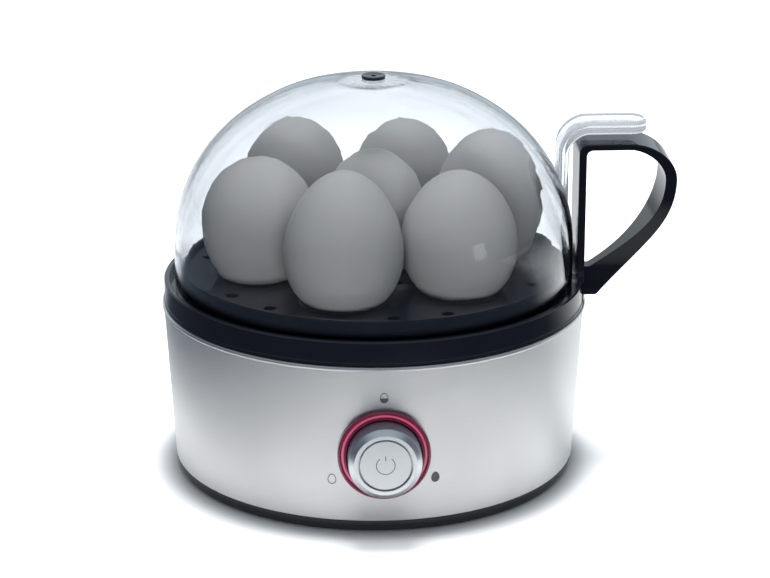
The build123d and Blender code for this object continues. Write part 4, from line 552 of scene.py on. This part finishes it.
def lathe(name, profile, turns):
    """A closed body turned about the Z axis, from (radius, height) places between its two poles."""
    mesh = bmesh.new()
    rings = []
    for radius, height in profile[1:-1]:
        ring = []
        for k in range(turns):
            turn = 2 * math.pi * k / turns
            ring.append(mesh.verts.new((radius * math.cos(turn), radius * math.sin(turn), height)))
        rings.append(ring)
    low = mesh.verts.new((0.0, 0.0, profile[0][1]))
    high = mesh.verts.new((0.0, 0.0, profile[-1][1]))
    for k in range(turns):
        nxt = (k + 1) % turns
        mesh.faces.new((low, rings[0][nxt], rings[0][k]))
        mesh.faces.new((high, rings[-1][k], rings[-1][nxt]))
        for a, b in zip(rings, rings[1:]):
            mesh.faces.new((a[k], a[nxt], b[nxt], b[k]))
    bmesh.ops.recalc_face_normals(mesh, faces=mesh.faces)
    for face in mesh.faces:
        face.smooth = True
    data = bpy.data.meshes.new(name)
    mesh.to_mesh(data)
    mesh.free()
    return data


# ---- operators
class BOILER_OT_metal(bpy.types.Operator):
    """Finishes the steel housing, the knob and its button"""

    bl_idname = "boiler.metal"
    bl_label = "Housing and knob metal"

    SPREAD = 0.04
    # the knob's side, from its front edge backwards along its axis, where a darker bluish tone is painted as
    # shade and the metal is rougher
    SIDE_STARTS, SIDE_FULL = -2.0 * MM, -2.3 * MM
    SIDE_ROUGHNESS = 0.55

    def turned(self, name, tone, soft, **values):
        """Turned or brushed metal whose gloss lies around one roughness."""
        return lathe_metal(name, tone, soft - self.SPREAD, soft + self.SPREAD, **values)

    def execute(self, context):
        look = context.scene.boiler_metal
        steel = self.turned(
            "Satin steel", look.steel, look.steel_roughness, contrast=0.05, lines=3200.0, streak=14.0,
            relief=0.12, stretch=0.75
        )
        dress(steel, "steel_housing")
        knob = self.turned(
            "Turned knob", look.knob, look.knob_roughness, axis=KNOB_AXIS, lines=2600.0, streak=4.0,
            contrast=0.04, relief=0.03
        )
        side = knob.zone("Z", self.SIDE_STARTS, self.SIDE_FULL)
        # painted shade: the knob's side takes a darker bluish tone of its metal
        knob.paint(mixed(knob.tree, "RGBA", side, knob.colour, rgba(look.knob_side_painted_shade)))
        knob.rough(between(knob.tree, side, knob.roughness, self.SIDE_ROUGHNESS))
        dress(knob, "knob_shell")
        button = lathe_metal(
            "Button face", look.button, 0.30, 0.42, axis=KNOB_AXIS, lines=7000.0, streak=3.0, relief=0.15
        )
        dress(button, "push_button")
        return {"FINISHED"}


class BOILER_OT_tray(bpy.types.Operator):
    """Finishes the egg tray, its handle and its screws"""

    bl_idname = "boiler.tray"
    bl_label = "Egg tray and handle"

    # distances from the boiler's axis at which the eroded deck ends and the polished rim starts
    DECK_ENDS, RIM_STARTS = 78.5 * MM, 79.2 * MM
    DECK_SPREAD = 0.03

    def execute(self, context):
        look = context.scene.boiler_plastic
        gloss = {
            "low": look.gloss_roughness - 0.03, "high": look.gloss_roughness + 0.04,
            "relief": 0.03, "edges": 0.3 * MM
        }
        handle = moulded("Gloss black", look.gloss, specular_ior_level=0.2, **gloss)
        dress(handle, "tray_handle")
        tray = moulded("Tray black", look.gloss, specular_ior_level=0.35, **gloss)
        low, high = look.deck_roughness - self.DECK_SPREAD, look.deck_roughness + self.DECK_SPREAD
        deck = tray.use("Uneven finish", scale=700.0, low=low, high=high)
        rim = tray.ring_zone(self.DECK_ENDS, self.RIM_STARTS)
        tray.rough(mixed(tray.tree, "FLOAT", rim, deck["Value"], tray.roughness))
        dress(tray, "egg_tray")
        dress(plain_metal("Zinc", (0.55, 0.56, 0.58), 0.30, 0.45), "handle_screws")
        return {"FINISHED"}


class BOILER_OT_lid(bpy.types.Operator):
    """Finishes the clear dome, its grip and the vent"""

    bl_idname = "boiler.lid"
    bl_label = "Clear lid"

    def execute(self, context):
        look = context.scene.boiler_plastic
        dome = clear("Clear dome", look.clear, look.clear_roughness)
        dress(dome, "lid_dome")
        tint = scaled(look.clear, 1.04)
        grip = clear("Clear grip", tint, look.clear_roughness + 0.08, clarity=0.85)
        dress(grip, "lid_handle")
        vent = moulded("Vent grey", (0.018, 0.02, 0.024), 0.22, 0.32)
        dress(vent, "steam_vent")
        return {"FINISHED"}


class BOILER_OT_controls(bpy.types.Operator):
    """Finishes the red ring around the knob and the controls behind it"""

    bl_idname = "boiler.controls"
    bl_label = "Red ring and controls"

    # the band along the ring's rounded crest where a paler highlight is painted, as distances from the knob's
    # axis
    CREST, LIP = 16.6 * MM, 16.9 * MM

    def execute(self, context):
        look = context.scene.boiler_plastic
        ring = red_with_painted_highlight("Red ring", look.glow, look.glow_painted_highlight, KNOB_AXIS, self.CREST, self.LIP)
        dress(ring, "light_ring")
        nylon = moulded("Nylon", (0.62, 0.60, 0.55), 0.4, 0.55)
        dress(nylon, "knob_hub", "pot_rotor", "switch_plunger")
        dark = moulded("Dark moulding", (0.02, 0.02, 0.022), 0.35, 0.5)
        dress(dark, "rotary_pot", "push_switch", "control_bracket")
        lamp = moulded("Lamp epoxy", (0.75, 0.70, 0.62), 0.15, 0.25, transmission_weight=0.4)
        dress(lamp, "indicator_leds")
        return {"FINISHED"}


class BOILER_OT_base(bpy.types.Operator):
    """Finishes the base pan, its feet, the outlet bush and the fasteners"""

    bl_idname = "boiler.base"
    bl_label = "Base, feet and bush"

    def execute(self, context):
        look = context.scene.boiler_plastic
        satin = moulded("Satin black", look.satin, 0.16, 0.26, relief=0.1, specular_ior_level=0.25)
        dress(satin, "base_pan")
        dress(moulded("Bush black", look.satin, 0.4, 0.55, relief=0.2), "outlet_bush")
        dress(rubbery("Foot rubber", (0.02, 0.02, 0.021)), "rubber_feet")
        zinc = plain_metal("Zinc screws", (0.60, 0.61, 0.62), 0.28, 0.42)
        dress(zinc, "pan_screws", "clamp_nuts", "bracket_screws", "board_screws")
        dress(zinc, "power_board_screws", "thermostat_screws")
        return {"FINISHED"}


class BOILER_OT_heater(bpy.types.Operator):
    """Finishes the inner body, the water dish, the element and what hangs under it"""

    bl_idname = "boiler.heater"
    bl_label = "Dish and heater"

    def execute(self, context):
        inner = moulded("Inner moulding", (0.03, 0.031, 0.034), 0.35, 0.5)
        dress(inner, "inner_body")
        dish = lathe_metal("Pressed dish", (0.62, 0.615, 0.60), 0.2, 0.3, lines=1500.0, streak=5.0)
        dress(dish, "water_dish")
        dress(rubbery("Silicone", (0.55, 0.54, 0.52)), "dish_gasket")
        bright = plain_metal("Spring steel", (0.58, 0.575, 0.565), 0.22, 0.34)
        dress(bright, "dish_clamps", "thermostat_plate", "fuse_clip", "heat_shield")
        sheath = plain_metal("Element sheath", (0.34, 0.33, 0.31), 0.4, 0.6, grain=500.0, relief=0.2)
        dress(sheath, "heating_element")
        cast = plain_metal("Cast aluminium", (0.66, 0.66, 0.655), 0.38, 0.52, grain=600.0, relief=0.25)
        dress(cast, "heat_spreader")
        dress(moulded("Phenolic", (0.035, 0.028, 0.024), 0.3, 0.45), "thermostat")
        dress(moulded("Fuse body", (0.5, 0.48, 0.44), 0.35, 0.5), "thermal_fuse")
        return {"FINISHED"}


class BOILER_OT_electronics(bpy.types.Operator):
    """Finishes the boards and the components on them"""

    bl_idname = "boiler.electronics"
    bl_label = "Boards and components"

    def execute(self, context):
        board = moulded("Board laminate", (0.02, 0.11, 0.045), 0.3, 0.45, coat_weight=0.4)
        dress(board, "power_board", "control_board")
        dress(moulded("Relay case", (0.03, 0.05, 0.12), 0.3, 0.4), "relay")
        core = plain_metal("Laminated core", (0.30, 0.29, 0.28), 0.4, 0.55, grain=1400.0, relief=0.4)
        dress(core, "transformer")
        can = lathe_metal("Capacitor can", (0.25, 0.27, 0.32), 0.3, 0.4, lines=1800.0)
        dress(can, "smoothing_capacitor")
        dress(moulded("Sounder case", (0.015, 0.015, 0.016), 0.35, 0.5), "buzzer")
        dress(moulded("Terminal nylon", (0.70, 0.69, 0.64), 0.35, 0.5), "terminal_block")
        return {"FINISHED"}


class BOILER_OT_marks(bpy.types.Operator):
    """Prints the three egg marks on the housing and the power mark on the button"""

    bl_idname = "boiler.marks"
    bl_label = "Printed marks"

    # the egg marks: their distance and turn around the knob's axis, their outline, and the film of ink
    REACH, STOP = 24.1 * MM, math.radians(120.0)
    HALF_WIDTH, HALF_HEIGHT = 1.72 * MM, 2.3 * MM
    POINT, STROKE = 0.12, 0.18
    INK_HEIGHT = 0.02 * MM
    # the lower half of the middle mark, as a share of its outline and up to this height in it
    FILL_SHARE, FILL_TOP = 0.93, -0.1 * MM
    FILL_HEIGHT = 1.1 * INK_HEIGHT
    # the power mark: an open circle and a stroke in its gap, which is given in degrees
    POWER_RADIUS, POWER_HALF_STROKE = 3.7 * MM, 0.17 * MM
    POWER_GAP, POWER_STEPS = 76.0, 60
    POWER_HEIGHT = 0.015 * MM

    def fill(self, z):
        """Rows of the lower part of the middle mark, drawn in towards its level top."""
        share, top = self.FILL_SHARE, self.FILL_TOP
        outline = egg_outline(self.HALF_WIDTH * share, self.HALF_HEIGHT * share, self.POINT)
        lower = sorted(place for place in outline if place[1] < top)
        return [[(px, z + pz * s + top * (1 - s)) for px, pz in lower] for s in (1.0, 0.7, 0.4, 0.0)]

    def power_arc(self):
        """Rows of the open circle on the button, from one side of its gap to the other."""
        start, sweep = 90 + self.POWER_GAP / 2, 360 - self.POWER_GAP
        turns = [math.radians(start + sweep * k / self.POWER_STEPS) for k in range(self.POWER_STEPS + 1)]
        radii = [self.POWER_RADIUS + step * self.POWER_HALF_STROKE for step in (-1.0, -0.5, 0.0, 0.5, 1.0)]
        return [[(r * math.cos(t), KNOB_Z + r * math.sin(t)) for t in turns] for r in radii]

    def power_stroke(self):
        """Rows of the upright stroke in the circle's gap."""
        heights = [KNOB_Z + self.POWER_RADIUS * (0.55 + 0.09 * k) for k in range(7)]
        return [[(step * self.POWER_HALF_STROKE, z) for z in heights] for step in (-1.0, 0.0, 1.0)]

    def execute(self, context):
        ink = moulded("Mark ink", (0.045, 0.045, 0.05), 0.35, 0.5, edges=0).material
        # the power mark is an engraving; its dark tone is partly a painted shade for the shade inside the
        # groove
        engraving_and_painted_shade = lathe_metal("Engraved mark", (0.16, 0.165, 0.175), 0.4, 0.5, lines=900.0).material
        outline = egg_outline(self.HALF_WIDTH, self.HALF_HEIGHT, self.POINT)
        ring = (1.0, 1.0 - self.STROKE / 2, 1.0 - self.STROKE)
        solid = (1.0, 0.75, 0.5, 0.25, 0.02)
        marks = {"soft_mark": (-self.STOP, ring), "medium_mark": (0.0, ring), "hard_mark": (self.STOP, solid)}
        for name, (turn, scales) in marks.items():
            x, z = self.REACH * math.sin(turn), KNOB_Z + self.REACH * math.cos(turn)
            rows = [[(x + px * s, z + pz * s) for px, pz in outline] for s in scales]
            mesh = printed(name, "steel_housing", rows, True, self.INK_HEIGHT)
            shown(name, mesh, ink, "base")
        rows = self.fill(KNOB_Z + self.REACH)
        mesh = printed("medium_mark_fill", "steel_housing", rows, False, self.FILL_HEIGHT)
        shown("medium_mark_fill", mesh, ink, "base")
        for name, rows in (("power_mark_arc", self.power_arc()), ("power_mark_stroke", self.power_stroke())):
            mesh = printed(name, "push_button", rows, False, self.POWER_HEIGHT)
            shown(name, mesh, engraving_and_painted_shade, "button")
        return {"FINISHED"}


class BOILER_OT_eggs(bpy.types.Operator):
    """Stands the seven eggs in the tray; they are props and not part of the boiler"""

    bl_idname = "boiler.eggs"
    bl_label = "Eggs"

    # each egg's place around the tray in degrees (None for the middle), the height of its top and its
    # width in mm, its taper towards the top and its lean in degrees
    EGGS = (
        (-107.25, 142.0, 48.2, 0.15, 2.0),
        (-47.25, 137.3, 47.6, 0.09, -3.0),
        (12.75, 142.8, 46.4, 0.04, 3.0),
        (72.75, 139.0, 46.2, 0.06, 2.0),
        (132.75, 143.2, 47.0, 0.04, 4.0),
        (192.75, 137.8, 47.6, -0.02, 3.0),
        (None, 137.1, 45.5, 0.06, 0.0),
    )
    # the seats in mm: their ring, and the radius and height of the lip that an egg rests on
    SEAT_RING = 50.0
    LIP_RADIUS = 16.6
    LIP_Z = 88.1
    SETTLE_STEPS = 8
    SIDE_LEAN = 0.6

    def shell_painted_shade(self, tone):
        """Chalky egg shell with pores and a faint unevenness, in the given tone, which is darkened as a
        painted shade.
        """
        finish = Finish(
            "Egg shell", base_color=rgba(tone), specular_ior_level=0.3,
            subsurface_weight=0.2, subsurface_scale=0.002
        )
        pores = finish.use("Pits", scale=900.0, size=0.5)
        patches = finish.use("Uneven finish", scale=45.0, low=0.5, high=0.62)
        finish.rough(patches["Value"])
        finish.tones(patches["Height"], scaled(tone, 0.94), scaled(tone, 1.03))
        finish.bump(pores["Height"], 0.12, 0.06 * MM)
        return finish.material

    def profile(self, size, width, taper, rings):
        """Radius and height from the lower pole to the upper one, in mm."""
        places = []
        for k in range(rings + 1):
            turn = math.pi * k / rings
            radius = width / 2 * math.sin(turn) * (1 + taper * math.cos(turn))
            places.append((radius, size / 2 * (1 - math.cos(turn))))
        return places

    def execute(self, context):
        look = context.scene.boiler_eggs
        material = self.shell_painted_shade(look.shell_painted_shade)
        for count, (place, top, width, taper, lean) in enumerate(self.EGGS):
            size = top - self.LIP_Z
            for _ in range(self.SETTLE_STEPS):
                profile = self.profile(size, width, taper, look.rings)
                rest = next(
                    a[1] + (b[1] - a[1]) * (self.LIP_RADIUS - a[0]) / (b[0] - a[0])
                    for a, b in zip(profile, profile[1:])
                    if b[0] >= self.LIP_RADIUS
                )
                size = top - self.LIP_Z + rest
            mesh = lathe(f"egg_{count}", [(r * MM, (h - rest) * MM) for r, h in profile], look.turns)
            tilt = Euler((math.radians(lean), math.radians(lean * self.SIDE_LEAN), 0))
            mesh.transform(tilt.to_matrix().to_4x4())
            spot = Vector((0.0, 0.0, self.LIP_Z))
            if place is not None:
                turn = math.radians(place)
                spot += Vector((math.cos(turn), math.sin(turn), 0.0)) * self.SEAT_RING
            mesh.transform(Matrix.Translation(spot * MM))
            egg = shown(f"egg_{count}", mesh, material, "tray")
        return {"FINISHED"}


class BOILER_OT_stage(bpy.types.Operator):
    """Sets up the floor, the soft lamps, the world and the camera"""

    bl_idname = "boiler.stage"
    bl_label = "Studio"

    # places and sizes of the lamps, in metres
    AIM = (0.0, 0.0, 0.1)
    TOP_PLACE, TOP_SIZE = (0.0, 0.05, 1.1), (0.38, 0.32)
    FRONT_PLACE, FRONT_SIZE = (-0.1, -1.3, 0.12), (0.9, 0.18)
    RIGHT_PLACE, RIGHT_SIZE = (1.12, -0.68, 0.30), (0.17, 0.22)
    # the room: a bright sweep behind the boiler and a little to its right, half as bright overhead
    SWEEP_WAY = (0.34, 0.94, 0.0)
    SWEEP_RISE = (0.2, 0.85)
    OVERHEAD_RISE, OVERHEAD_MOST = (0.5, 0.85), 0.5
    ROOM_LEVEL, ROOM_LEVEL_IN_GLASS = 0.95, 0.3
    # the floor, in metres: it is pale behind the boiler and in a patch around it, darker as a painted
    # shadow where the base nearly touches it, and it shines a little from near the base and more from far out
    FLOOR_RADIUS = 6.0
    BEHIND = (0.09, 0.24)
    PATCH_MIDDLE, PATCH_STRETCH, PATCH_FADE = (0.019, 0.0, 0.0), (0.78, 1.0, 1.0), 0.14
    CONTACT, CONTACT_TONE = (0.085, 0.096), 0.75
    NEAR, NEAR_LIFT = (0.085, 0.102), 0.4
    FAR, FAR_LIFT = (0.25, 0.6), 0.3

    def lamp(self, name, place, size, power, reflected=True):
        """A soft rectangular lamp that points at the boiler."""
        data = bpy.data.lights.new(name, "AREA")
        data.shape = "RECTANGLE"
        data.size, data.size_y = size
        data.energy = power
        lamp = bpy.data.objects.new(name, data)
        bpy.context.scene.collection.objects.link(lamp)
        lamp.location = place
        lamp.rotation_euler = (Vector(self.AIM) - Vector(place)).to_track_quat("-Z", "Y").to_euler()
        if not reflected:
            lamp.visible_glossy = lamp.visible_transmission = False

    def seen_straight(self, tree):
        """Masks for what is seen directly or straight through glass, and for all that passed glass."""
        path = put(tree, "ShaderNodeLightPath").outputs
        unbent = reckon(tree, "LESS_THAN", path["Glossy Depth"], 0.5)
        through = reckon(tree, "MULTIPLY", path["Is Transmission Ray"], unbent)
        return reckon(tree, "MAXIMUM", path["Is Camera Ray"], through), path["Is Transmission Ray"]

    def floor(self, look):
        """A pale floor that keeps the object's shadow, has a painted shadow under the base, and ends some way
        in front of it.
        """
        mesh = bmesh.new()
        bmesh.ops.create_circle(mesh, cap_ends=True, segments=96, radius=self.FLOOR_RADIUS)
        data = bpy.data.meshes.new("floor")
        mesh.to_mesh(data)
        mesh.free()
        finish = Finish("Pale floor", specular_ior_level=0.15)
        tree = finish.tree
        finish.rough(finish.use("Uneven finish", scale=3.0, low=0.55, high=0.65)["Value"])
        behind = rising(tree, vector(tree, "DOT_PRODUCT", finish.where, self.SWEEP_WAY), *self.BEHIND)
        painted_contact_shadow, near, far = (finish.ring_zone(*zone) for zone in (self.CONTACT, self.NEAR, self.FAR))
        finish.about(self.PATCH_MIDDLE, stretch=self.PATCH_STRETCH)
        patch = finish.ring_zone(look.floor_edge, look.floor_edge - self.PATCH_FADE)
        pale = reckon(tree, "MAXIMUM", behind, patch)
        # painted shadow: the floor's pale tone is darkened where the base nearly touches it
        tone = reckon(tree, "MULTIPLY", pale, between(tree, painted_contact_shadow, self.CONTACT_TONE, 1.0))
        finish.tones(tone, look.front, look.floor)
        lift = reckon(tree, "MULTIPLY", far, self.FAR_LIFT)
        lift = reckon(tree, "MULTIPLY_ADD", near, self.NEAR_LIFT, lift)
        seen, _ = self.seen_straight(tree)
        strength = reckon(tree, "MULTIPLY", between(tree, pale, 1.0, lift), seen)
        glow = put(tree, "ShaderNodeEmission", strength=strength)
        finish.show(put(tree, "ShaderNodeAddShader", finish.shader.outputs[0], glow.outputs[0]))
        floor = shown("floor", data, finish.material, None)

    def world(self, look):
        """White where it is seen straight; for the rest a bright sweep behind and a dim room in front."""
        world = bpy.data.worlds.new("Studio")
        bpy.context.scene.world = world
        world.use_nodes = True
        tree = world.node_tree
        tree.nodes.clear()
        way = put(tree, "ShaderNodeTexCoord").outputs["Generated"]
        height = put(tree, "ShaderNodeSeparateXYZ", way).outputs["Z"]
        sweep = rising(tree, vector(tree, "DOT_PRODUCT", way, self.SWEEP_WAY), *self.SWEEP_RISE)
        above = rising(tree, height, *self.OVERHEAD_RISE, most=self.OVERHEAD_MOST)
        bright = reckon(tree, "MAXIMUM", sweep, above)
        tone = mixed(tree, "RGBA", bright, rgba(scaled(look.front, 2.0)), rgba(look.back))
        seen, in_glass = self.seen_straight(tree)
        level = between(tree, in_glass, self.ROOM_LEVEL, self.ROOM_LEVEL_IN_GLASS)
        room = put(tree, "ShaderNodeBackground", tone, level).outputs[0]
        white = put(tree, "ShaderNodeBackground", rgba((1.0, 1.0, 1.0)), 1.0).outputs[0]
        both = put(tree, "ShaderNodeMixShader", seen, room, white).outputs[0]
        put(tree, "ShaderNodeOutputWorld", both)

    def camera(self, look):
        """The camera at its viewing angle."""
        data = bpy.data.cameras.new("camera")
        data.lens = look.lens
        data.sensor_width = 36.0
        data.clip_start, data.clip_end = 0.05, 30.0
        camera = bpy.data.objects.new("camera", data)
        bpy.context.scene.collection.objects.link(camera)
        camera.location = look.eye
        camera.rotation_euler = (math.radians(90) - look.pitch, 0.0, -look.yaw)
        bpy.context.scene.camera = camera

    def execute(self, context):
        look = context.scene.boiler_stage
        context.scene.view_settings.view_transform = "Standard"
        self.floor(look)
        self.world(look)
        self.lamp("top_lamp", self.TOP_PLACE, self.TOP_SIZE, look.top_power, reflected=False)
        self.lamp("front_lamp", self.FRONT_PLACE, self.FRONT_SIZE, look.front_power, reflected=False)
        self.lamp("right_lamp", self.RIGHT_PLACE, self.RIGHT_SIZE, look.right_power)
        self.camera(look)
        return {"FINISHED"}


class BOILER_PT_panel(bpy.types.Panel):
    """Lists the steps that dress the boiler"""

    bl_idname = "BOILER_PT_panel"
    bl_label = "Seven-egg boiler"
    bl_space_type = "VIEW_3D"
    bl_region_type = "UI"
    bl_category = "Boiler"

    def draw(self, context):
        for step in STEPS:
            self.layout.operator(step.bl_idname)
        for name in SETTINGS:
            box = self.layout.box()
            group = getattr(context.scene, name)
            for field in group.bl_rna.properties:
                if field.identifier not in ("rna_type", "name"):
                    box.prop(group, field.identifier)


SETTINGS = {
    "boiler_metal": BoilerMetal,
    "boiler_plastic": BoilerPlastic,
    "boiler_eggs": BoilerEggs,
    "boiler_stage": BoilerStage,
}
STEPS = (
    BOILER_OT_stage,
    BOILER_OT_metal,
    BOILER_OT_tray,
    BOILER_OT_lid,
    BOILER_OT_controls,
    BOILER_OT_base,
    BOILER_OT_heater,
    BOILER_OT_electronics,
    BOILER_OT_marks,
    BOILER_OT_eggs,
)


def register():
    """Adds the settings, the steps and the panel."""
    for name, group in SETTINGS.items():
        bpy.utils.register_class(group)
        setattr(bpy.types.Scene, name, PointerProperty(type=group))
    for step in STEPS:
        bpy.utils.register_class(step)
    bpy.utils.register_class(BOILER_PT_panel)


def unregister():
    """Takes away what register added."""
    bpy.utils.unregister_class(BOILER_PT_panel)
    for step in reversed(STEPS):
        bpy.utils.unregister_class(step)
    for name, group in SETTINGS.items():
        delattr(bpy.types.Scene, name)
        bpy.utils.unregister_class(group)


def main():
    """Dresses the boiler step by step."""
    register()
    for step in STEPS:
        group, name = step.bl_idname.split(".")
        getattr(getattr(bpy.ops, group), name)()


if __name__ == "__main__":
    main()
